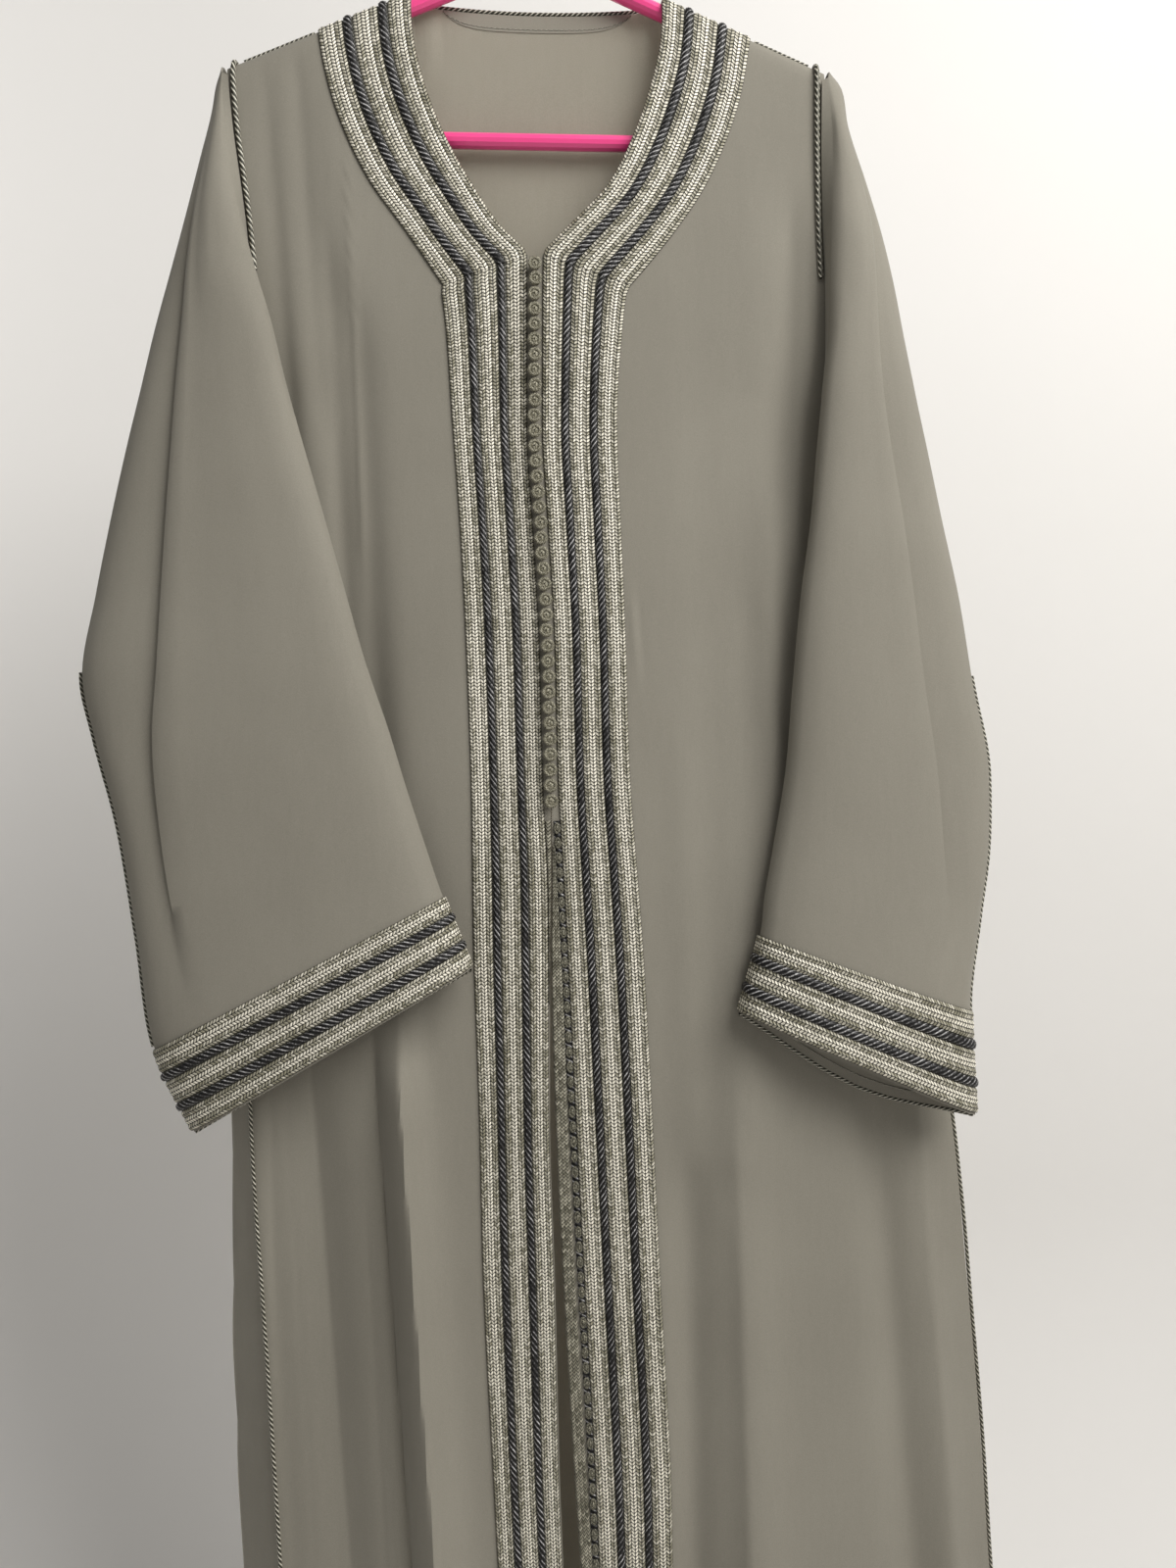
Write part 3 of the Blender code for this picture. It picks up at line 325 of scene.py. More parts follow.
def read(columns, name, height):
    """Value of a column at a height, on a smooth curve through the table's rows."""
    return smooth(-columns["height"], columns[name], -np.asarray(height, float))


def arm_height(x):
    """Height of the hanger arm's centre line at a distance x from the middle."""
    return APEX_HEIGHT - ARM_SLOPE * np.abs(x)


def folds(columns, x, height, sharp=False):
    """Sum of folds d * shape(t), t the distance from the fold's line over its width.

    The shape is exp(-t^2), or exp(-|t|) where sharp. Each fades in above its upper end.
    """
    total = np.zeros(np.broadcast(x, height).shape)
    for k in range(len(columns["high"])):
        fold = {name: values[k] for name, values in columns.items()}
        run = (fold["high"] - height) / (fold["high"] - fold["low"])
        centre = fold["high_x"] + (fold["low_x"] - fold["high_x"]) * run
        depth = fold["high_depth"] + (fold["low_depth"] - fold["high_depth"]) * run
        length = fold["high"] - fold["low"]
        reach = min(FADE_LENGTH, 0.6 * length)
        fade = np.clip(1 + run * length / reach, 0, 1) * np.clip(1 + (1 - run) * length / reach, 0, 1)
        fade = fade * fade * (3 - 2 * fade)
        away = (x - centre) / np.where(x < centre, fold["width"], fold.get("right_width", fold["width"]))
        shape = np.exp(-np.abs(away)) if sharp else np.exp(-away ** 2)
        total = total + depth * fade * shape
    return total


def front_depth(x, height):
    """Y of the fronts' middle surface: full at the middle, falling to the sides as 1 - s^2.6, plus folds."""
    middle = np.where(height > FRONT["height"][0], 0.0, 0.5 * (read(FRONT, "left_edge", height)
                                                              + read(FRONT, "right_edge", height)))
    left = read(SIDE, "left_seam", height)
    right = read(SIDE, "right_seam", height)
    share = np.where(x < middle, (x - middle) / (left - middle), (x - middle) / (right - middle))
    share = np.clip(share, 0, 1)
    side = np.where(x < middle, read(SIDE, "left_depth", height), read(SIDE, "front_depth", height))
    full = read(DEPTH, "front", height)
    hand = folds(FRONT_FOLDS, x, height) + folds(FRONT_CREASES, x, height)
    hand = hand + folds(FRONT_CRESTS, x, height, sharp=True)
    return side + (full - side) * (1 - share ** 2.6) + hand * np.minimum(1, 8 * (1 - share))


def refine(grid, axis, step):
    """The grid with points added along an axis, on smooth curves, about a step apart.

    Returns the finer grid, and the curve lengths of the old rows and of the new ones.
    """
    moved = np.moveaxis(grid, axis, 0)
    gaps = np.linalg.norm(np.diff(moved, axis=0), axis=2).mean(axis=1)
    length = np.concatenate([[0], np.cumsum(gaps)])
    finer = [np.linspace(length[k], length[k + 1], max(1, int(round(gap / step))) + 1)[:-1]
             for k, gap in enumerate(gaps)]
    finer = np.concatenate(finer + [length[-1:]])
    return np.moveaxis(smooth(length, moved, finer), 0, axis), length, finer


def front_surface(sign):
    """Fine grid of one front: rows from the shoulder to the hem, columns from the middle to the side."""
    side = "left" if sign < 0 else "right"
    share = np.linspace(0, 1, 110)
    rows = []
    seam_top = read(SIDE, side + "_seam", -131)
    for angle in SHOULDER_ANGLES:
        x = sign * NECK_HALF + (seam_top - sign * NECK_HALF) * share
        turn = math.radians(angle)
        y = np.full_like(x, -DRAPE * math.sin(turn))
        rows.append(np.stack([x, y, arm_height(x) + DRAPE * math.cos(turn)], axis=1))
    count = len(FRONT_ROWS["inner"])
    station = np.concatenate([[0, 0.5], np.arange(1, count - 1, 0.5), [count - 1]])
    for inner, outer in zip(smooth(np.arange(count), FRONT_ROWS["inner"], station),
                            smooth(np.arange(count), FRONT_ROWS["outer"], station)):
        if inner > FRONT["height"][0] - 1:
            inner_x = read(NECK, side + "_inner", inner)
        else:
            inner_x = read(FRONT, side + "_edge", inner)
        outer_x = read(SIDE, side + "_seam", outer)
        x = inner_x + (outer_x - inner_x) * share
        z = inner + (outer - inner) * share
        rows.append(np.stack([x, front_depth(x, z), z], axis=1))
    grid = refine(np.array(rows), 0, FINE_STEP)[0]
    mitre = int(np.argmin(np.abs(grid[:, 0, 2] - FRONT["height"][0])))
    return grid, mitre


def back_section(middle, outer):
    """The back's section between two heights, from its left side edge to its right one."""
    share = np.linspace(-1, 1, 241)
    z = middle + (outer - middle) * np.abs(share)
    x = np.where(share < 0, -read(SIDE, "left_fold", z) * share, read(SIDE, "right_fold", z) * share)
    full = read(DEPTH, "back", z)
    edges = []
    for name in ("left_depth", "front_depth"):
        side = float(read(SIDE, name, outer))
        edges.append(-side if outer > ARMPIT_HEIGHT else side + LAP)
    turn = float(read(DEPTH, "back", outer)) * (0.0 if outer > ARMPIT_HEIGHT else SIDE_TURN)
    edge_y = np.where(share < 0, max(edges[0], turn), max(edges[1], turn))
    y = edge_y + (full - edge_y) * (1 - np.abs(share) ** 3)
    y = y + folds(BACK_FOLDS, x, z) * np.minimum(1, 6 * (1 - np.abs(share)))
    points = np.stack([x, y, z], axis=1)
    first = (float(read(SIDE, "left_seam", outer)), edges[0], outer)
    last = (float(read(SIDE, "right_seam", outer)), edges[1], outer)
    return np.concatenate([[first], points, [last]])


def back_surface():
    """Fine grid of the back, neck and shoulders to hem, and its rows before refining."""
    left_top = float(read(SIDE, "left_seam", -131))
    right_top = float(read(SIDE, "right_seam", -131))
    half = np.array(BACK_TOP_X, float)
    coarse = np.concatenate([[left_top], -half[:0:-1], half, [right_top]])
    knots = np.arange(len(coarse))
    top_x = smooth(knots, coarse, np.linspace(0, knots[-1], 6 * knots[-1] + 1))
    neck = BACK_NECK_LOW + BACK_NECK_RISE * (top_x / NECK_HALF) ** 2
    round_arm = DRAPE + 2 * SEAM_GAP
    clear = np.interp(np.abs(top_x), (0, 67, 75), (BACK_NECK_DEPTH, BACK_NECK_DEPTH, round_arm))
    on_arm = np.abs(top_x) > NECK_HALF
    rows = []
    for angle in SHOULDER_ANGLES:
        turn = math.radians(angle)
        neck_z = neck - DRAPE * (math.cos(math.radians(SHOULDER_ANGLES[0])) - math.cos(turn))
        lift = np.clip(neck_z - arm_height(top_x), 0, DRAPE)
        around = np.sqrt(round_arm ** 2 - lift ** 2)
        neck_y = np.where(lift > 0, around, clear)
        y = np.where(on_arm, DRAPE * math.sin(turn), neck_y)
        z = np.where(on_arm, arm_height(top_x) + DRAPE * math.cos(turn), neck_z)
        rows.append(np.stack([top_x, y, z], axis=1))
    top_share = (top_x - left_top) / (right_top - left_top)
    even_share = np.linspace(0, 1, len(top_x))
    for middle, outer in zip(BACK_ROWS["middle"], BACK_ROWS["outer"]):
        section = back_section(middle, outer)
        length = np.concatenate([[0], np.cumsum(np.hypot(np.diff(section[:, 0]), np.diff(section[:, 1])))])
        ease = np.clip((-110 - middle) / 250.0, 0, 1)
        share = (top_share + (even_share - top_share) * ease) * length[-1]
        rows.append(np.stack([np.interp(share, length, section[:, k]) for k in range(3)], axis=1))
    rows = np.array(rows)
    return refine(rows, 0, FINE_STEP)[0], rows


def sleeve_rows(rows):
    """Points of a sleeve's middle surface. The first and last columns are the seam.

    From the seam the section goes under to the inner fold, over the front to the outer fold
    and back to the seam. The front swells by a flattened oval and has one lapped pleat.
    """
    points = []
    for k in range(len(rows["bulge"])):
        row = {name: values[k] for name, values in rows.items()}
        seam = np.array([row["seam_x"], row["seam_front"], row["seam_z"]])
        inner = np.array([row["inner_x"], row["inner_y"], row["inner_z"]])
        outer = np.array([row["outer_x"], row["outer_y"], row["outer_z"]])
        step = np.linspace(0, 1, UNDER_STEPS + 1)[:-1, None]
        under = seam + (inner - seam) * step
        under[:, 1] += row["round"] * (step - step ** 6)[:, 0]
        even = np.linspace(0, 1, len(CREASE_SHARES))
        near_fold = even + (np.array(CREASE_SHARES) - even) * row["round"] / FULL_ROUND
        front_share = list(row["crease"] * near_fold)
        past = row["crease"] + 0.02 - PLEAT_RETURN * row["pleat"]
        after = row["crease"] + 0.03
        front_share += [past] + [after + (1 - after) * s for s in PAST_CREASE_SHARES]
        share = np.array(front_share)
        power = 1.5 + 0.275 * row["round"]
        oval = (1 - np.abs(2 * share - 1) ** power) ** (1 / power)
        front = inner + (outer - inner) * share[:, None]
        front[:, 1] -= row["bulge"] * oval
        behind = np.arange(len(share)) >= len(CREASE_SHARES)
        fall = np.where(behind, np.interp(share, (row["crease"], 1), (1, 0)), 0)
        front[:, 1] += PLEAT_DEPTH * row["pleat"] * fall
        turn = np.linspace(0, math.pi / 2, OUTER_STEPS + 1)[1:]
        last = np.array([row["seam_x"], row["seam_back"], row["seam_z"]])
        back = np.empty((OUTER_STEPS, 3))
        back[:, 0] = last[0] + (outer[0] - last[0]) * np.cos(turn)
        back[:, 2] = last[2] + (outer[2] - last[2]) * np.cos(turn)
        back[:, 1] = outer[1] + (last[1] - outer[1]) * np.sin(turn)
        points.append(np.concatenate([under, front, back]))
    return np.array(points)


def sleeve_surface(rows):
    """Fine grid of a sleeve, and the same with its first rows only, with their lengths.

    Near the cuff, the far layer's rows bend smoothly at the seam in place of a corner.
    """
    points = sleeve_rows(rows)
    sign = np.sign(rows["seam_x"][0])
    front = np.zeros(points.shape[1], bool)
    front[UNDER_STEPS:-OUTER_STEPS] = True
    for k in range(CUFF_ROW - 2, len(points)):
        knots = sign * np.array([rows[name][k] for name in ("inner_x", "seam_x", "outer_x")])
        heights = np.array([rows[name][k] for name in ("inner_z", "seam_z", "outer_z")])
        x = sign * points[k, :, 0]
        bend = smooth(knots, heights, x) - np.interp(x, knots, heights)
        points[k, :, 2] += np.where(front, 0, bend)
    columns = refine(points, 1, FINE_STEP)[0]
    grid, length = refine(columns, 0, FINE_STEP)[:2]
    return grid, columns, length


def unit(vectors):
    """Vectors of length 1."""
    return vectors / np.maximum(np.linalg.norm(vectors, axis=-1, keepdims=True), 1e-9)


def grid_normals(grid, towards=None, ring=False):
    """Unit normals of a grid, from its two directions; ring joins its first and last rows."""
    if ring:
        along = np.roll(grid, -1, axis=0) - np.roll(grid, 1, axis=0)
    else:
        along = np.gradient(grid, axis=0)
    normal = unit(np.cross(along, np.gradient(grid, axis=1)))
    if towards is None:
        return normal
    flip = np.sign((normal * np.asarray(towards)).sum(axis=2, keepdims=True))
    return normal * np.where(flip == 0, 1, flip)


# Meshes

def grid_quads(rows, columns, ring_rows=False, ring_columns=False):
    """Corner indices of a grid's quads, joined round where asked."""
    i = np.arange(rows if ring_rows else rows - 1)[:, None]
    j = np.arange(columns if ring_columns else columns - 1)[None, :]
    below = (i + 1) % rows
    right = (j + 1) % columns
    quads = np.stack(np.broadcast_arrays(i * columns + j, i * columns + right,
                                         below * columns + right, below * columns + j), axis=-1)
    return quads.reshape(-1, 4)


def add_mesh(name, parts, finish, nodes=(), angle=50):
    """One object from parts of (points, quads, lay), smooth shaded, riding on the body.

    The points are in millimetres. The lay is a UV map: place across and along a braid or cord.
    """
    points, quads, lays = [], [], []
    first = 0
    for part_points, part_quads, lay in parts:
        flat = np.asarray(part_points).reshape(-1, 3)
        points.append(flat)
        quads.append(np.asarray(part_quads) + first)
        lays.append(np.zeros((len(flat), 2)) if lay is None else np.asarray(lay).reshape(-1, 2))
        first += len(flat)
    mesh = bpy.data.meshes.new(name)
    mesh.from_pydata((np.concatenate(points) * MM).tolist(), [], np.concatenate(quads).tolist())
    layer = mesh.uv_layers.new(name="lay")
    corner = np.empty(len(mesh.loops), dtype=np.int32)
    mesh.loops.foreach_get("vertex_index", corner)
    layer.data.foreach_set("uv", np.concatenate(lays)[corner].astype(np.float32).ravel())
    mesh.validate()
    mesh.shade_smooth()
    mesh.set_sharp_from_angle(angle=math.radians(angle))
    mesh.materials.append(finish)
    obj = bpy.data.objects.new(name, mesh)
    bpy.context.scene.collection.objects.link(obj)
    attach(obj, BODY)
    if nodes:
        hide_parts(*nodes)
    return obj


def shell(grid, normal, thickness):
    """A closed thin wall round a grid: both faces, and a rim round all four edges."""
    rows, columns = grid.shape[:2]
    count = rows * columns
    points = np.concatenate([(grid + normal * thickness / 2).reshape(-1, 3),
                             (grid - normal * thickness / 2).reshape(-1, 3)])
    face = grid_quads(rows, columns)
    index = np.arange(count).reshape(rows, columns)
    edge = np.concatenate([index[0, :-1], index[:-1, -1], index[-1, :0:-1], index[:0:-1, 0]])
    onward = np.roll(edge, -1)
    rim = np.stack([onward, edge, edge + count, onward + count], axis=1)
    return points, np.concatenate([face[:, ::-1], face + count, rim[:, ::-1]]), None


def band(grid, normal, layout, ring=False):
    """A braid band on a grid whose rows run along it, with rounded plait columns across it.

    Height over the cloth is BRAID_RISE + COLUMN_RISE |sin(pi c)| in a braid, c counting its
    columns, and BED_RISE between braids. The lay holds c and the number of stitches along.
    """
    share = []
    place = []
    rise = []
    column = 0
    for k in range(len(layout["start"])):
        count = int(layout["columns"][k])
        inside = np.linspace(0, count, 6 * count + 1)
        share.append(layout["start"][k] + (layout["end"][k] - layout["start"][k]) * inside / count)
        place.append(column + inside)
        edge = np.clip(np.minimum(inside, count - inside) / 0.25, 0, 1)
        crown = BRAID_RISE + COLUMN_RISE * np.abs(np.sin(math.pi * inside))
        rise.append(crown * (0.55 + 0.45 * edge))
        column += count
        if k + 1 < len(layout["start"]):
            bed = layout["start"][k + 1] - layout["end"][k]
            share.append(layout["end"][k] + bed * np.array([0.12, 0.5, 0.88]))
            place.append(column + np.array([0.1, 0.5, 0.9]))
            rise.append(np.full(3, BED_RISE))
            column += 1
    share = np.concatenate(share)
    place = np.concatenate(place)
    rise = np.concatenate(rise)
    knots = np.linspace(0, 1, grid.shape[1])
    base = np.moveaxis(smooth(knots, np.moveaxis(grid, 1, 0), share), 0, 1)
    upward = unit(np.moveaxis(smooth(knots, np.moveaxis(normal, 1, 0), share), 0, 1))
    lift = WALL / 2 + BRAID_GAP
    front = base + upward * (lift + rise[None, :, None])
    few = np.linspace(0, len(share) - 1, 9).astype(int)[::-1]
    under = (base + upward * (lift - 0.1))[:, few]
    points = np.concatenate([front, under], axis=1)
    rows, width = points.shape[:2]
    middle = base[:, base.shape[1] // 2]
    gaps = np.linalg.norm(np.diff(middle, axis=0), axis=1)
    along = np.concatenate([[0], np.cumsum(gaps)]) / STITCH
    lay = np.empty((rows, width, 2))
    lay[..., 0] = np.concatenate([place, place[few]])
    lay[..., 1] = along[:, None]
    return points, grid_quads(rows, width, ring_rows=ring, ring_columns=True), lay


def rope(path, normal, side_radius, up_radius, strands, pitch, ring=False, lobe=0.24, sides=12, hand=1):
    """A twisted cord along a path: an oval of radius 1 - lobe + lobe |cos(pi (u - v))|.

    u counts the strands round the section, either way round by the hand, and v the pitches along.
    """
    path = np.asarray(path, float)
    normal = np.asarray(normal, float)
    if ring:
        path = np.concatenate([path, path[:1]])
        normal = np.concatenate([normal, normal[:1]])
    length = np.concatenate([[0], np.cumsum(np.linalg.norm(np.diff(path, axis=0), axis=1))])
    turns = max(1, int(round(length[-1] / pitch)))
    at = np.linspace(0, length[-1], turns * TWIST_STEPS + 1)
    pitch = length[-1] / turns
    if ring:
        at = at[:-1]
    centre = smooth(length, path, at)
    along = unit(np.gradient(centre, axis=0))
    up = smooth(length, normal, at)
    up = unit(up - along * (up * along).sum(axis=1, keepdims=True))
    across = np.cross(along, up)
    turn = np.linspace(0, 2 * math.pi, sides, endpoint=False)
    u = hand * strands * turn / (2 * math.pi)
    v = at / pitch
    reach = 1 - lobe + lobe * np.abs(np.cos(math.pi * (u[None, :] - v[:, None])))
    points = (centre[:, None] + across[:, None] * (side_radius * reach * np.cos(turn))[..., None]
              + up[:, None] * (up_radius * reach * np.sin(turn))[..., None])
    lay = np.empty(points.shape[:2] + (2,))
    lay[..., 0] = u
    lay[..., 1] = v[:, None]
    return points, grid_quads(*points.shape[:2], ring_rows=ring, ring_columns=True), lay


# Materials

class Value:
    """A number in a node tree. Python's operators make Math nodes."""

    def __init__(self, tree, socket):
        self.tree = tree
        self.socket = socket

    def math(self, operation, *others):
        return maths(self.tree, operation, self, *others)

    def __add__(self, other):
        return self.math("ADD", other)

    def __sub__(self, other):
        return self.math("SUBTRACT", other)

    def __mul__(self, other):
        return self.math("MULTIPLY", other)

    def __truediv__(self, other):
        return self.math("DIVIDE", other)

    def __radd__(self, other):
        return self.math("ADD", other)

    def __rmul__(self, other):
        return self.math("MULTIPLY", other)

    def __rsub__(self, other):
        return maths(self.tree, "SUBTRACT", other, self)

    def __rtruediv__(self, other):
        return maths(self.tree, "DIVIDE", other, self)

    def fraction(self):
        return self.math("FRACT")

    def floor(self):
        return self.math("FLOOR")

    def size(self):
        return self.math("ABSOLUTE")

    def ramp(self, low, high):
        """0 below low, 1 above high, an S curve between."""
        node = self.tree.nodes.new("ShaderNodeMapRange")
        node.interpolation_type = "SMOOTHSTEP"
        self.tree.links.new(self.socket, node.inputs["Value"])
        node.inputs["From Min"].default_value = low
        node.inputs["From Max"].default_value = high
        return Value(self.tree, node.outputs["Result"])


def feed(tree, target, item):
    """Link a value or socket to an input, or set the input to a plain number or colour."""
    if isinstance(item, Value):
        tree.links.new(item.socket, target)
    elif isinstance(item, bpy.types.NodeSocket):
        tree.links.new(item, target)
    else:
        target.default_value = item


def maths(tree, operation, *items):
    """A Math node of some items."""
    node = tree.nodes.new("ShaderNodeMath")
    node.operation = operation
    for k, item in enumerate(items):
        feed(tree, node.inputs[k], item)
    return Value(tree, node.outputs[0])


class Finish:
    """A Principled material and the nodes that feed it."""

    def __init__(self, name, **constants):
        self.material = bpy.data.materials.new(name)
        self.material.use_nodes = True
        self.tree = self.material.node_tree
        self.shader = self.tree.nodes["Principled BSDF"]
        for socket, value in constants.items():
            self.shader.inputs[socket.replace("_", " ")].default_value = value

    def node(self, kind, settings=None, **inputs):
        """A node of a kind: its settings first, then its inputs by name."""
        made = self.tree.nodes.new(kind)
        for key, value in (settings or {}).items():
            setattr(made, key, value)
        for key, value in inputs.items():
            feed(self.tree, made.inputs[key.replace("_", " ")], value)
        return made

    def lay(self):
        """The two values of the lay map."""
        uv = self.node("ShaderNodeUVMap", {"uv_map": "lay"})
        split = self.node("ShaderNodeSeparateXYZ", Vector=uv.outputs[0])
        return Value(self.tree, split.outputs[0]), Value(self.tree, split.outputs[1])

    def place(self):
        """Object coordinates, in metres."""
        return self.node("ShaderNodeTexCoord").outputs["Object"]

    def noise(self, scale, detail=2.0, stretch=(1, 1, 1)):
        """Noise over object coordinates, between 0 and 1."""
        mapped = self.node("ShaderNodeMapping", Vector=self.place(), Scale=stretch)
        made = self.node("ShaderNodeTexNoise", Vector=mapped.outputs[0], Scale=scale, Detail=detail)
        return Value(self.tree, made.outputs[0])

    def random(self, first, second):
        """A number between 0 and 1 for each pair of values."""
        pair = self.node("ShaderNodeCombineXYZ", X=first, Y=second)
        made = self.node("ShaderNodeTexWhiteNoise", {"noise_dimensions": "3D"}, Vector=pair.outputs[0])
        return Value(self.tree, made.outputs["Value"])

    def mix(self, share, first, second):
        """Colour between two colours."""
        made = self.tree.nodes.new("ShaderNodeMix")
        made.data_type = "RGBA"
        feed(self.tree, made.inputs[0], share)
        feed(self.tree, made.inputs[6], first)
        feed(self.tree, made.inputs[7], second)
        return made.outputs[2]

    def colour(self, item):
        feed(self.tree, self.shader.inputs["Base Color"], item)

    def roughness(self, item):
        feed(self.tree, self.shader.inputs["Roughness"], item)

    def bump(self, height, distance, strength=1.0):
        """Bump of a height between 0 and 1, over a distance in metres."""
        made = self.node("ShaderNodeBump", Height=height, Distance=distance, Strength=strength)
        feed(self.tree, self.shader.inputs["Normal"], made.outputs[0])


def crepe_finish(name, **constants):
    """Matte crepe: a pebbled grain over a fine weave, with faint broad shade changes."""
    finish = Finish(name, Sheen_Weight=0.1, Sheen_Roughness=0.5, Specular_IOR_Level=0.25, **constants)
    grain = finish.noise(1500.0, 3.0)
    slub = finish.noise(260.0, 2.0, (1, 1, 0.16))
    broad = finish.noise(7.0, 2.0)
    split = finish.node("ShaderNodeSeparateXYZ", Vector=finish.place())
    across = (Value(finish.tree, split.outputs[0]) * 9000.0).math("SINE")
    along = (Value(finish.tree, split.outputs[2]) * 7600.0).math("SINE")
    weave = across * along * 0.5 + 0.5
    tone = grain * 0.55 + slub * 0.1 + broad * 0.35
    finish.colour(finish.mix(tone.ramp(0.3, 0.7), (0.232, 0.216, 0.178, 1), (0.280, 0.262, 0.218, 1)))
    finish.roughness(0.72 + grain * 0.16)
    finish.bump(grain * 0.7 + weave * 0.3, 0.00012, 0.5)
    return finish.material


def braid_finish():
    """Flat metallic braid: plait columns of ivory V stitches, with painted shade in the clefts between them.
    """
    finish = Finish("champagne_braid", Metallic=0.12, Specular_IOR_Level=0.5)
    across, along = finish.lay()
    column = across.floor()
    slant = (across.fraction() * 2.0 - 1.0).size()
    thread_place = along + slant * 0.7
    crown = (thread_place.fraction() - 0.5).size() * 2.0
    thread_round = 1.0 - crown * crown
    side = (slant - 0.5).size() * 2.0
    leg_round = 1.0 - side * side * side
    fleck = finish.random(column * 2.0 + (across.fraction() * 2.0).floor(), thread_place.floor())
    drift = finish.noise(14.0, 1.0)
    middle = 1.0 - ((across * 0.25).fraction() - 0.375).size().ramp(0.115, 0.135)
    shine = (fleck * 0.45 + drift * 0.45 + middle * 0.35).ramp(0.2, 0.9)
    base = finish.mix(shine, (0.30, 0.28, 0.20, 1), (1.0, 0.95, 0.81, 1))
    # Painted shade: the clefts between the stitches are coloured near black.
    painted_cleft_shade = (thread_round * leg_round).ramp(0.24, 0.62)
    base = finish.mix(painted_cleft_shade, (0.020, 0.019, 0.013, 1), base)
    bed = 1.0 - ((across - 3.5).size().ramp(0.45, 0.5) * (across - 7.5).size().ramp(0.45, 0.5))
    finish.colour(finish.mix(bed, base, (0.05, 0.048, 0.035, 1)))
    finish.roughness(0.38 + fleck * 0.2)
    finish.bump(thread_round * leg_round, 0.0008, 0.7)
    return finish.material


def strip_finish():
    """The plain inner braid: the same stitches, darker and less metallic, with painted shade between the
    threads.
    """
    finish = Finish("olive_braid", Metallic=0.1, Specular_IOR_Level=0.4)
    across, along = finish.lay()
    slant = (across.fraction() * 2.0 - 1.0).size()
    thread_place = along + slant * 0.8
    crown = (thread_place.fraction() - 0.5).size() * 2.0
    thread_round = 1.0 - crown * crown
    fleck = finish.random(across.floor(), thread_place.floor())
    base = finish.mix(fleck, (0.14, 0.13, 0.09, 1), (0.50, 0.475, 0.375, 1))
    # Painted shade: near black between the threads, where their rounds fall away.
    finish.colour(finish.mix(thread_round.ramp(0.25, 0.85), (0.018, 0.017, 0.012, 1), base))
    finish.roughness(0.45 + fleck * 0.2)
    finish.bump(thread_round, 0.0008, 0.7)
    return finish.material


def twist_finish(name, deep, thread, painted_glint, share, **constants):
    """Twisted cord: strands by the lay, with painted shade in the grooves between them and thin painted
    glints of changing strength along their crowns.
    """
    finish = Finish(name, **constants)
    across, along = finish.lay()
    place = across - along + 400.0
    crown = (place.fraction() - 0.5).size() * 2.0
    strand = finish.random(place.floor(), (along * 0.25).floor())
    fine = finish.noise(900.0, 2.0, (1, 1, 0.4))
    # Painted shade: the deep colour fills the grooves between the strands.
    base = finish.mix(crown.ramp(0.12, 0.55), deep, thread)
    # Painted glints: a bright colour on the strands' crowns, of changing strength along them.
    lit = (strand * 0.2 + fine * 0.6).ramp(0.75 - share, 1.1 - share) * crown.ramp(0.62, 0.9)
    finish.colour(finish.mix(lit, base, painted_glint))
    finish.roughness(0.30 + fine * 0.3)
    finish.bump(crown.ramp(0.0, 0.9) + fine * 0.2, 0.0005, 0.6)
    return finish.material


def knot_finish(name, low, high):
    """Knotted cord: threads between two colours, with painted shade in the clefts."""
    finish = Finish(name, Metallic=0.12, Specular_IOR_Level=0.5)
    across, along = finish.lay()
    first = (across * 3.0 + along * 2.0).fraction()
    second = (across * 3.0 - along * 2.0).fraction()
    weave = ((first - 0.5).size() * 2.0).math("MAXIMUM", (second - 0.5).size() * 2.0)
    speck = finish.noise(1100.0, 2.0)
    base = finish.mix(speck.ramp(0.35, 0.7), low, high)
    # Painted shade: near black in the clefts between the threads.
    finish.colour(finish.mix(weave.ramp(0.3, 0.75), (0.030, 0.028, 0.018, 1), base))
    finish.roughness(0.38 + speck * 0.25)
    finish.bump(weave * 0.7 + speck * 0.3, 0.0005, 0.7)
    return finish.material


def plastic_finish():
    """Bright pink moulded plastic, smooth, with faint flow marks."""
    finish = Finish("pink_plastic", Specular_IOR_Level=0.5, Coat_Weight=0.15, Coat_Roughness=0.2)
    flow = finish.noise(60.0, 3.0, (1, 1, 2.5))
    finish.colour(finish.mix(flow, (0.96, 0.075, 0.290, 1), (1.0, 0.095, 0.330, 1)))
    finish.roughness(0.24 + flow * 0.12)
    finish.bump(finish.noise(900.0, 2.0), 0.00004, 0.3)
    return finish.material


def stage_finish(name, low, high):
    """Plain pale matte surface."""
    finish = Finish(name, Specular_IOR_Level=0.2)
    cloud = finish.noise(1.6, 2.0)
    finish.colour(finish.mix(cloud, low, high))
    finish.roughness(0.82 + cloud * 0.1)
    return finish


CREPE = crepe_finish("crepe_cloth")
THIN_CREPE = crepe_finish("crepe_cloth_of_the_back", Subsurface_Weight=0.7, Subsurface_Scale=0.006,
                            Subsurface_Radius=(1.0, 0.97, 0.92))
BRAID = braid_finish()
OLIVE_BRAID = strip_finish()
# Each twist below: painted groove shade, thread colour, painted glint colour, then the glints' share.
DARK_TWIST = twist_finish("dark_twist", (0.003, 0.003, 0.003, 1), (0.020, 0.019, 0.019, 1),
                          (0.70, 0.69, 0.69, 1), 0.49, Specular_IOR_Level=0.3)
PIPING_TWIST = twist_finish("olive_piping", (0.012, 0.011, 0.007, 1), (0.13, 0.125, 0.090, 1),
                            (0.80, 0.77, 0.66, 1), 0.65, Specular_IOR_Level=0.4)
KNOTS = knot_finish("olive_knots", (0.17, 0.158, 0.105, 1), (0.50, 0.47, 0.36, 1))
# The loops' knots: a darker copy of the buttons' knot colours, as painted shade of the slit the loops sit in.
LOOP_KNOTS_IN_PAINTED_SHADE = knot_finish("olive_loops_painted_shade", (0.085, 0.080, 0.055, 1), (0.40, 0.38, 0.29, 1))
PINK = plastic_finish()


# Fronts, their bands and cords

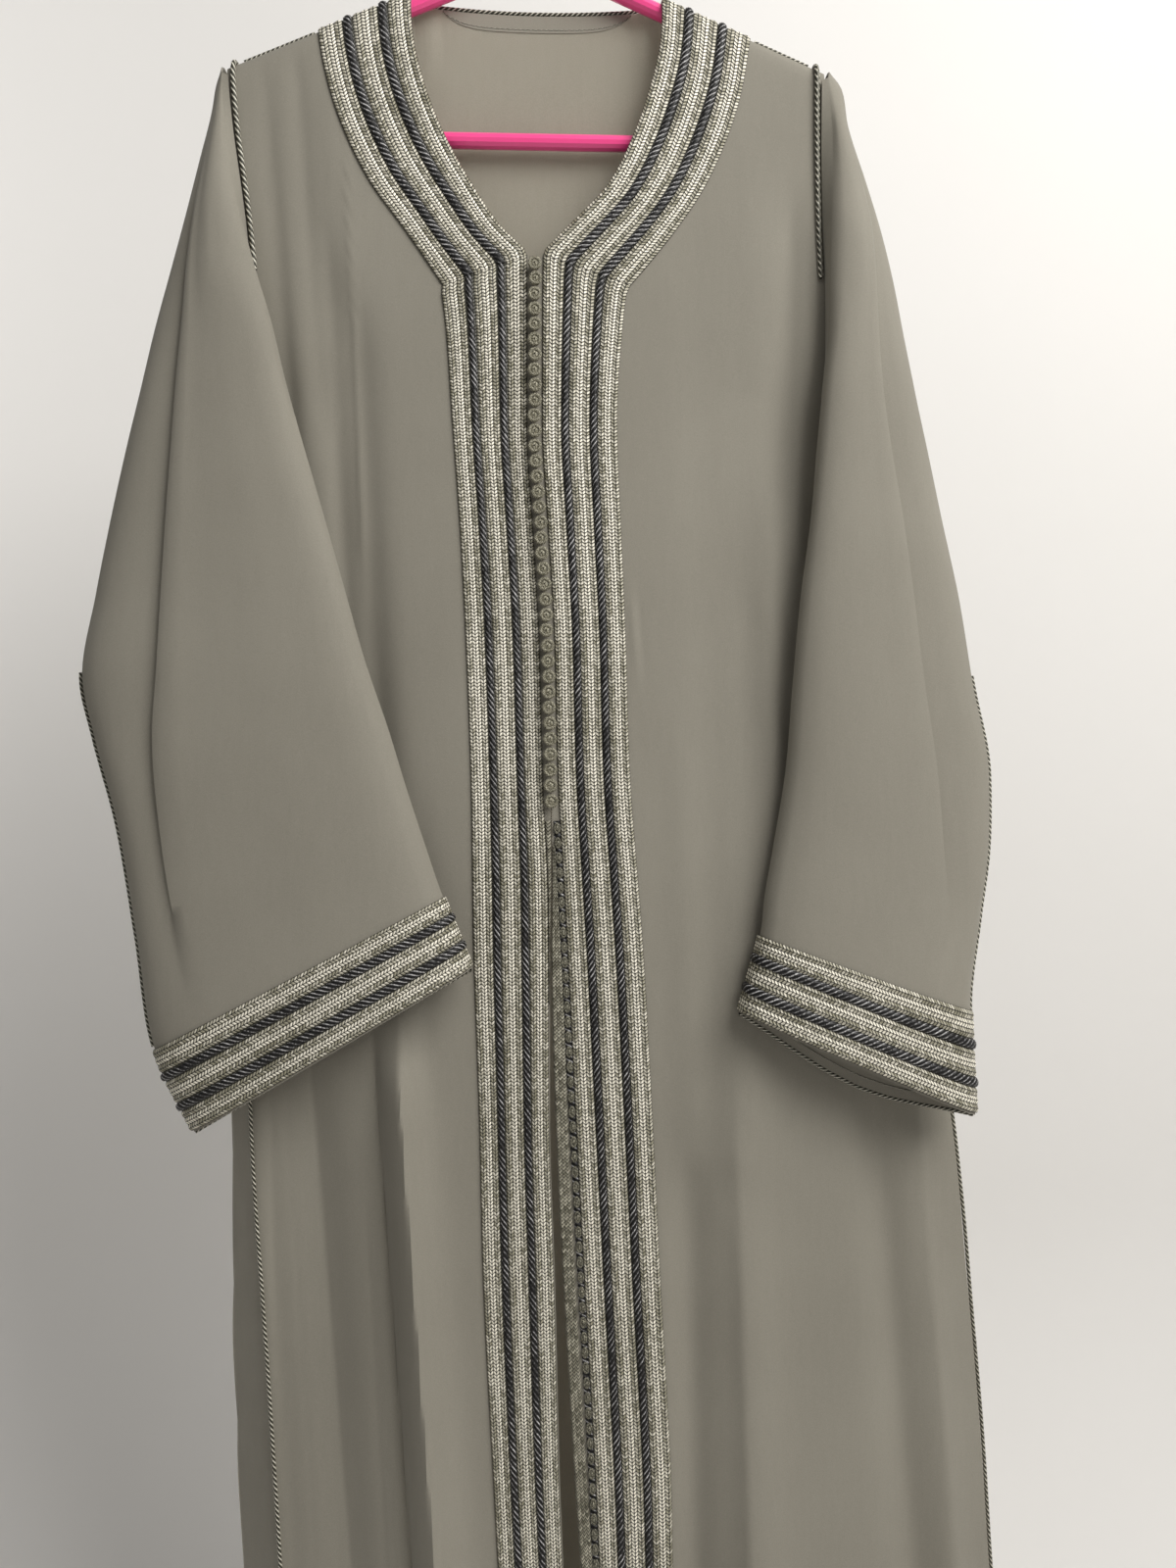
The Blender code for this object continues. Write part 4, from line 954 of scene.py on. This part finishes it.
def across_rows(panel, first, last, shares):
    """Points of a front's rows between two x places per row, and the rows' outward normals."""
    normals = grid_normals(panel, (0, -1, 0.3))
    points, ups = [], []
    for row in range(len(first)):
        line, up = panel[row], normals[row]
        order = slice(None) if line[-1, 0] > line[0, 0] else slice(None, None, -1)
        target = first[row] + (last[row] - first[row]) * shares
        rest = [np.interp(target, line[order, 0], line[order, k]) for k in (1, 2)]
        points.append(np.stack([target] + rest, axis=1))
        ups.append(np.stack([np.interp(target, line[order, 0], up[order, k]) for k in range(3)], axis=1))
    return np.array(points), unit(np.array(ups))


def band_parts(grid, normal, hand, ring=False):
    """A braid band with its two twisted cords in their beds."""
    flat = band(grid, normal, BRAIDS, ring)
    width = np.linalg.norm(grid[:, -1] - grid[:, 0], axis=1).mean()
    knots = np.linspace(0, 1, grid.shape[1])
    cords = []
    for share in CORD_SHARES:
        path = smooth(knots, np.moveaxis(grid, 1, 0), np.array([share]))[0]
        up = unit(smooth(knots, np.moveaxis(normal, 1, 0), np.array([share]))[0])
        raised = path + up * (WALL / 2 + CORD_RISE)
        cords.append(rope(raised, up, width * CORD_SHARE, CORD_HALF_HEIGHT, 4, TWIST_PITCH, ring, hand=hand))
    return flat, cords


def make_front(sign):
    """One front with its neck band, front band and the cords in them."""
    side = "left" if sign < 0 else "right"
    panel, mitre = front_surface(sign)
    cloth = add_mesh("front_%s_cloth" % side, [shell(panel, grid_normals(panel), CLOTH)], CREPE,
                     ["front_" + side])
    shares = np.linspace(0, 1, 25)
    beyond = np.abs(panel[:, :, 0]) > np.abs(read(NECK, side + "_outer", panel[:, :, 2]))
    reach = np.argmax(beyond, axis=1)
    rows = np.arange(len(panel))
    outside = np.abs(read(NECK, side + "_outer", panel[:, :, 2]))
    here = np.abs(panel[rows, reach, 0]) - outside[rows, reach]
    before = np.abs(panel[rows, reach - 1, 0]) - outside[rows, reach - 1]
    part = np.clip(-before / (here - before), 0, 1)
    neck_end = panel[rows, reach - 1, 0] + (panel[rows, reach, 0] - panel[rows, reach - 1, 0]) * part
    neck_start = panel[:, 0, 0].copy()
    neck_start[mitre] = float(read(FRONT, side + "_band", FRONT["height"][0]))
    neck, neck_up = across_rows(panel[:mitre + 1], neck_start[:mitre + 1], neck_end[:mitre + 1], shares)
    neck[-1, :, 2] += SEAM_GAP / 2
    height = panel[mitre:, 0, 2]
    start = read(FRONT, side + "_band", height)
    end = read(FRONT, side + "_outer", height)
    end[0] = neck_end[mitre]
    front, front_up = across_rows(panel[mitre:], start, end, shares)
    front[0, :, 2] -= SEAM_GAP / 2
    pieces = []
    for name, grid, up in (("neck", neck, neck_up), ("front", front, front_up)):
        flat, cords = band_parts(grid, up, -sign)
        pieces.append(add_mesh("%s_band_%s_braid" % (name, side), [flat], BRAID,
                               ["%s_band_%s" % (name, side)], 60))
        pieces.append(add_mesh("%s_band_%s_cords" % (name, side), cords, DARK_TWIST, (), 80))
    return cloth, panel, pieces


def make_placket(panel, left_panel):
    """Narrow braid on the fronts' free edges, and the column of knotted loops beside the right band."""
    beside_left = left_panel[(left_panel[:, 0, 2] < LOOP_TOP) & (left_panel[:, 0, 2] > EDGE_STRIP_LOW)]
    height = beside_left[:, 0, 2]
    grid, up = across_rows(beside_left, read(FRONT, "left_band", height) + SEAM_GAP,
                           read(FRONT, "left_edge", height) - SEAM_GAP / 2, np.linspace(0, 1, 7))
    edging = add_mesh("left_edge_braid", [band(grid, up, EDGE_BRAIDS)], OLIVE_BRAID, (), 60)
    low = panel[panel[:, 0, 2] < STRIP_TOP]
    height = low[:, 0, 2]
    edge = read(FRONT, "right_edge", height) + SEAM_GAP
    beside = read(FRONT, "right_band", height)
    width = np.clip(beside - edge - LOOP_ROOM, 0.8, STRIP_WIDTH)
    grid, up = across_rows(low, edge, edge + width, np.linspace(0, 1, 7))
    strip = add_mesh("placket_strip_braid", [band(grid, up, STRIP_BRAIDS)], OLIVE_BRAID,
                     ["placket_strip_right"], 60)
    deep = panel[panel[:, 0, 2] < LOOP_TOP]
    middle = read(FRONT, "right_band", deep[:, 0, 2]) - LOOP_INSET
    path, up = across_rows(deep, middle - 0.1, middle + 0.1, np.array([0.0, 0.5, 1.0]))
    spine, up = path[:, 1], up[:, 1]
    length = np.concatenate([[0], np.cumsum(np.linalg.norm(np.diff(spine, axis=0), axis=1))])
    count = int(length[-1] / LOOP_PITCH)
    base = rope(spine + up * LOOP_BED_RISE, up, *LOOP_BED_HALF, 2, LOOP_TWIST, sides=8)
    bed = add_mesh("placket_loop_bed", [base], DARK_TWIST, (), 80)
    parts = []
    turn = np.linspace(0, 2 * math.pi, 16, endpoint=False)[:, None]
    for k in range(count):
        at = np.array([(k + 0.5) * length[-1] / count])
        ahead = smooth(length, spine, at + 1) - smooth(length, spine, at - 1)
        rise = unit(smooth(length, up, at))
        along = unit(ahead)
        across = np.cross(along, rise)
        centre = smooth(length, spine, at) + rise * LOOP_RISE
        knot, quads, lay = ball(centre[0], LOOP_KNOT_RADIUS, 16, 10, KNOT_RELIEF)
        parts.append((centre[0] + (knot - centre[0]) * LOOP_KNOT_STRETCH, quads, lay))
        loop = centre + across * LOOP_REACH[0] * np.cos(turn) + along * LOOP_REACH[1] * np.sin(turn)
        up_all = np.repeat(rise, 16, axis=0)
        parts.append(rope(loop, up_all, LOOP_RADIUS, LOOP_RADIUS, 2, LOOP_TWIST, True, sides=7))
    loops = add_mesh("placket_loop_cord", parts, LOOP_KNOTS_IN_PAINTED_SHADE, ["placket_cord_right"], 80)
    return [strip, bed, loops, edging]


def ball(centre, radius, around, up, relief):
    """A knotted ball: radius R (1 + relief |sin(3a + 2e) sin(3a - 2e)|), a round and e up."""
    a = np.linspace(0, 2 * math.pi, around, endpoint=False)[None, :]
    e = np.linspace(-math.pi / 2 + 0.12, math.pi / 2 - 0.12, up)[:, None]
    reach = radius * (1 - relief + relief * np.abs(np.sin(1.5 * a + 2 * e) * np.sin(1.5 * a - 2 * e)))
    points = np.stack(np.broadcast_arrays(reach * np.cos(e) * np.cos(a), reach * np.sin(e),
                                          reach * np.cos(e) * np.sin(a)), axis=-1) + np.asarray(centre)
    lay = np.stack(np.broadcast_arrays(a / (2 * math.pi), e / math.pi), axis=-1)
    return points, grid_quads(up, around, ring_columns=True), lay


def make_buttons():
    """Knotted buttons over the meeting edges, each in a ring of its loop."""
    step = (BUTTON_LOW - BUTTON_TOP) / (BUTTON_COUNT - 1)
    turn = np.linspace(0, 2 * math.pi, 24, endpoint=False)
    forward = np.tile((0.0, -1.0, 0.0), (24, 1))
    random = np.random.default_rng(12)
    parts = []
    for k in range(BUTTON_COUNT):
        height = BUTTON_TOP + step * k
        x = 0.5 * float(read(FRONT, "left_edge", height) + read(FRONT, "right_edge", height))
        y = float(front_depth(np.array(x), np.array(height))) - WALL / 2 - BUTTON_RADIUS
        x += random.uniform(-KNOT_SHIFT, KNOT_SHIFT)
        parts.append(ball((x, y + 0.6, height), KNOT_RADIUS, 20, 12, KNOT_RELIEF))
        ring = np.stack([x + KNOT_RING * np.cos(turn), np.full_like(turn, y - 2.0),
                         height + KNOT_RING * np.sin(turn)], axis=1)
        parts.append(rope(ring, forward, KNOT_RING_RADIUS, KNOT_RING_RADIUS, 2, RING_TWIST, True, sides=8))
    nodes = ["button_%02d" % (k + 1) for k in range(BUTTON_COUNT)]
    return add_mesh("knotted_buttons", parts, KNOTS, nodes, 80)


# Sleeves and cuffs

def make_sleeve(sign, rows):
    """One sleeve with its cuff band and the cords in it."""
    side = "left" if sign < 0 else "right"
    grid, columns, length = sleeve_surface(rows)
    normal = grid_normals(grid)
    cloth = add_mesh("sleeve_%s_cloth" % side, [shell(grid, normal, CLOTH)], CREPE,
                     ["sleeve_" + side])
    low, high = length[CUFF_ROW], length[CUFF_ROW + 1]
    at = low + (high - low) * (0.02 + 0.96 * np.linspace(0, 1, 13))
    ring = smooth(length, columns, at)[:, :-1].transpose(1, 0, 2)
    up = grid_normals(ring, ring=True)
    front = int(np.argmin(ring[:, 0, 1]))
    if up[front, 0, 1] > 0:
        up = -up
    flat, cords = band_parts(ring[:, ::-1], up[:, ::-1], sign, ring=True)
    cuff = add_mesh("cuff_band_%s_braid" % side, [flat], BRAID, ["cuff_band_" + side], 60)
    twist = add_mesh("cuff_band_%s_cords" % side, cords, DARK_TWIST, (), 80)
    across = sign * grid[:, :, 0]
    rows = np.arange(len(grid))
    outer = grid[rows, np.argmax(across, axis=1)]
    inside = (outer[:, 2] < SLEEVE_CORD_TOP) & (outer[:, 2] > SLEEVE_CORD_LOW)
    fold = outer[inside]
    fold[:, 0] += sign * (CLOTH / 2 + CORD_RADIUS * 0.7)
    out = np.tile((0.0, -1.0, 0.0), (len(fold), 1))
    cord = rope(fold, out, CORD_RADIUS, CORD_RADIUS, 3, PIPING_PITCH, sides=9)
    seam_cord = add_mesh("sleeve_cord_%s_twist" % side, [cord], PIPING_TWIST,
                         ["sleeve_cord_" + side], 80)
    end = columns[-1, :-1]
    near, far = int(np.argmin(sign * end[:, 0])), int(np.argmax(sign * end[:, 0]))
    order = np.arange(far, len(end) + near + 1) % len(end)
    inward = (0.0, -1.0, 0.0)
    rims = []
    lines = [(0.0, CORD_RADIUS)] + [(rise, STITCH_RADIUS) for rise in STITCH_RISES]
    for rise, radius in lines:
        path = smooth(length, columns, np.array([length[-1] - rise]))[0][order]
        path = path + (np.array([0.0, 0.0, -CORD_RADIUS * 0.8]) if rise == 0 else np.array([0.0, -0.8, 0.0]))
        rims.append(rope(path, np.tile(inward, (len(path), 1)), radius, radius, 3, PIPING_PITCH, sides=8))
    rim = add_mesh("cuff_rim_%s_twist" % side, rims, PIPING_TWIST, (), 80)
    return cloth, [cuff, twist, seam_cord, rim]


# Piping

def make_piping(back_rows):
    """Twisted cords on the back neck, shoulders, armholes and sides."""
    rise = WALL / 2 + 0.5 + CORD_RADIUS
    pieces = []

    def add(name, points, normal, radius=CORD_RADIUS):
        points = np.asarray(points, float)
        up = np.tile(np.asarray(normal, float), (len(points), 1))
        part = rope(points, up, radius, radius, 3, PIPING_PITCH * radius / CORD_RADIUS, sides=9)
        pieces.append(add_mesh(name + "_twist", [part], PIPING_TWIST, [name], 80))

    x = np.linspace(-78, 78, 25)
    neck = BACK_NECK_LOW + BACK_NECK_RISE * (x / NECK_HALF) ** 2 + SEAM_GAP + CORD_RADIUS
    add("back_neck_cord", np.stack([x, np.full_like(x, BACK_NECK_DEPTH + 0.1), neck], axis=1), (0, -1, 0.2))
    for sign, side, sleeve in ((-1, "left", LEFT_SLEEVE), (1, "right", RIGHT_SLEEVE)):
        seam_top = float(read(SIDE, side + "_seam", -131))
        start = float(read(NECK, side + "_outer", -95)) + sign * 2.5
        x = np.linspace(start, seam_top - sign * 10.0, 8)
        ridge = arm_height(x) + DRAPE + rise - 0.7
        add("shoulder_cord_" + side, np.stack([x, np.zeros_like(x), ridge], axis=1), (0, -0.3, 1))
        inset = WALL / 2 + SEAM_GAP + CORD_RADIUS + 0.6
        depth = "left_depth" if sign < 0 else "front_depth"
        seam_x = sleeve["seam_x"] - sign * inset
        seam_z = sleeve["seam_z"]
        points = [(seam_x[k], float(read(SIDE, depth, seam_z[k])) - rise, seam_z[k]) for k in (5, 4, 3, 2, 1)]
        for angle in (90, 60, 30, 0, -30, -60, -90):
            turn = math.radians(angle)
            radius = DRAPE + rise
            above = arm_height(seam_x[0]) + radius * math.cos(turn)
            points.append((seam_x[0], -radius * math.sin(turn), above))
        for k in (1, 2, 3, 4, 5):
            points.append((seam_x[k], rise + 1.2 - float(read(SIDE, depth, seam_z[k])), seam_z[k]))
        add("armhole_cord_" + side, points, (-sign, 0, 0), ARMHOLE_RADIUS)
        if sign < 0:
            heights = np.array([-700, -740, -800, -850, -905, -962, -1096, -1240, -1400, HEM_HEIGHT + 1])
            x = read(SIDE, "left_seam", heights) + 2.0
            y = read(SIDE, "left_depth", heights) - rise - 0.6
        else:
            edge = back_rows[len(SHOULDER_ANGLES) + BACK_FOLD_ROW:]
            fold = edge[np.arange(len(edge)), np.argmax(edge[:, :, 0], axis=1)]
            x, y, heights = fold.T
            x = x + rise
        add("side_cord_" + side, np.stack([x, y, heights], axis=1), (0, -1, 0))
    return pieces


def make_facing(grid):
    """Turned strip inside the back neck, narrowing to its ends, with a line of stitches."""
    columns = np.nonzero(np.abs(grid[0, :, 0]) < FACING_HALF)[0]
    drop = FACING_DROP * (1 - (grid[0, columns, 0] / FACING_HALF) ** 6)
    share = np.linspace(0.03, 1, 7)
    points = np.empty((len(share), len(columns), 3))
    for k, column in enumerate(columns):
        line = grid[:40, column]
        height = line[0, 2] - drop[k] * share
        for axis in range(3):
            points[:, k, axis] = np.interp(-height, -line[:, 2], line[:, axis])
    points[:, :, 1] -= CLOTH / 2 + 0.3
    strip = add_mesh("back_neck_facing_cloth", [shell(points, grid_normals(points), 0.4)], CREPE,
                     ["back_neck_facing"])
    seam = points[-2] + np.array([0.0, -0.2, 0.0])
    forward = np.tile((0.0, -1.0, 0.0), (len(seam), 1))
    stitch = rope(seam, forward, STITCH_RADIUS, STITCH_RADIUS, 3, PIPING_PITCH, sides=6)
    return [strip, add_mesh("back_neck_facing_stitch", [stitch], PIPING_TWIST, (), 80)]


# Stage, lights and camera

def make_stage():
    """Pale floor that curves up into a pale wall. From behind, the wall doesn't show."""
    back, low, bend = 620.0, -1640.0, 500.0
    turn = np.linspace(0, math.pi / 2, 17)
    sweep = [(back - bend + bend * math.sin(t), low + bend - bend * math.cos(t)) for t in turn]
    profile = np.array([(-2600.0, low)] + sweep + [(back, 1500.0)])
    x = np.array([-3200.0, 3200.0])
    points = np.empty((len(profile), 2, 3))
    points[..., 0] = x
    points[..., 1] = profile[:, None, 0]
    points[..., 2] = profile[:, None, 1]
    mesh = bpy.data.meshes.new("stage_sweep")
    mesh.from_pydata((points.reshape(-1, 3) * MM).tolist(), [], grid_quads(len(profile), 2).tolist())
    mesh.shade_smooth()
    finish = stage_finish("pale_stage", (0.79, 0.775, 0.75, 1), (0.83, 0.815, 0.795, 1))
    tree = finish.tree
    clear = finish.node("ShaderNodeBsdfTransparent")
    facing = finish.node("ShaderNodeNewGeometry").outputs["Backfacing"]
    both = tree.nodes.new("ShaderNodeMixShader")
    tree.links.new(facing, both.inputs[0])
    tree.links.new(finish.shader.outputs[0], both.inputs[1])
    tree.links.new(clear.outputs[0], both.inputs[2])
    tree.links.new(both.outputs[0], tree.nodes["Material Output"].inputs[0])
    mesh.materials.append(finish.material)
    obj = bpy.data.objects.new("stage_sweep", mesh)
    bpy.context.scene.collection.objects.link(obj)


def make_light(name, place, target, size, power, colour):
    """Soft square light at a place, aimed at a target, in metres."""
    light = bpy.data.lights.new(name, "AREA")
    light.shape = "SQUARE"
    light.size = size
    light.energy = power
    light.color = colour
    obj = bpy.data.objects.new(name, light)
    bpy.context.scene.collection.objects.link(obj)
    away = np.array(place, float) - np.array(target, float)
    away /= np.linalg.norm(away)
    tilt = math.acos(away[2])
    heading = math.atan2(away[1], away[0]) + math.pi / 2
    obj.location = place
    obj.rotation_euler = (tilt, 0, heading)
    obj.visible_camera = False


def make_camera():
    """Camera at the photo's place: level, turned 2 degrees right, 67 degrees of view over the height."""
    camera = bpy.data.cameras.new("photo_camera")
    camera.sensor_fit = "VERTICAL"
    camera.sensor_height = 36.0
    camera.lens = 27.045
    camera.clip_start = 0.01
    obj = bpy.data.objects.new("photo_camera", camera)
    obj.location = (0.0069, -0.8258, -0.6275)
    obj.rotation_euler = (math.radians(90), 0, math.radians(-2))
    bpy.context.scene.collection.objects.link(obj)
    bpy.context.scene.camera = obj


def make_world():
    """Even soft white surroundings."""
    world = bpy.data.worlds.new("soft_surroundings")
    world.use_nodes = True
    background = world.node_tree.nodes["Background"]
    background.inputs["Color"].default_value = (1.0, 0.985, 0.96, 1)
    background.inputs["Strength"].default_value = 0.19
    bpy.context.scene.world = world


left_cloth, left_panel, left_pieces = make_front(-1)
right_cloth, right_panel, right_pieces = make_front(1)
placket_pieces = make_placket(right_panel, left_panel)
buttons = make_buttons()
back_grid, back_coarse = back_surface()
back_cloth = add_mesh("back_cloth", [shell(back_grid, grid_normals(back_grid), CLOTH)], THIN_CREPE,
                      ["back"])
left_sleeve, left_cuff = make_sleeve(-1, LEFT_SLEEVE)
right_sleeve, right_cuff = make_sleeve(1, RIGHT_SLEEVE)
piping = make_piping(back_coarse) + make_facing(back_grid)

for material_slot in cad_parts["hanger"].material_slots:
    material_slot.material = PINK

right_pieces + placket_pieces + [buttons]

make_stage()
make_world()
make_light("key_softbox", (1.25, -1.3, 0.95), (0.05, 0.0, -0.5), 1.6, 67.0, (1.0, 0.985, 0.96))
make_light("fill_softbox", (-1.6, -2.2, 0.2), (0.0, 0.0, -0.5), 1.8, 3.0, (0.98, 0.99, 1.0))
make_light("back_softbox", (0.6, 2.2, 0.6), (0.0, 0.0, -0.7), 1.6, 30.0, (1.0, 0.99, 0.97))
make_light("wall_softbox", (-1.2, 0.08, 0.1), (-1.2, 0.62, 0.1), 0.9, 2.4, (1.0, 0.99, 0.98))
make_camera()
bpy.context.scene.view_settings.view_transform = "Standard"
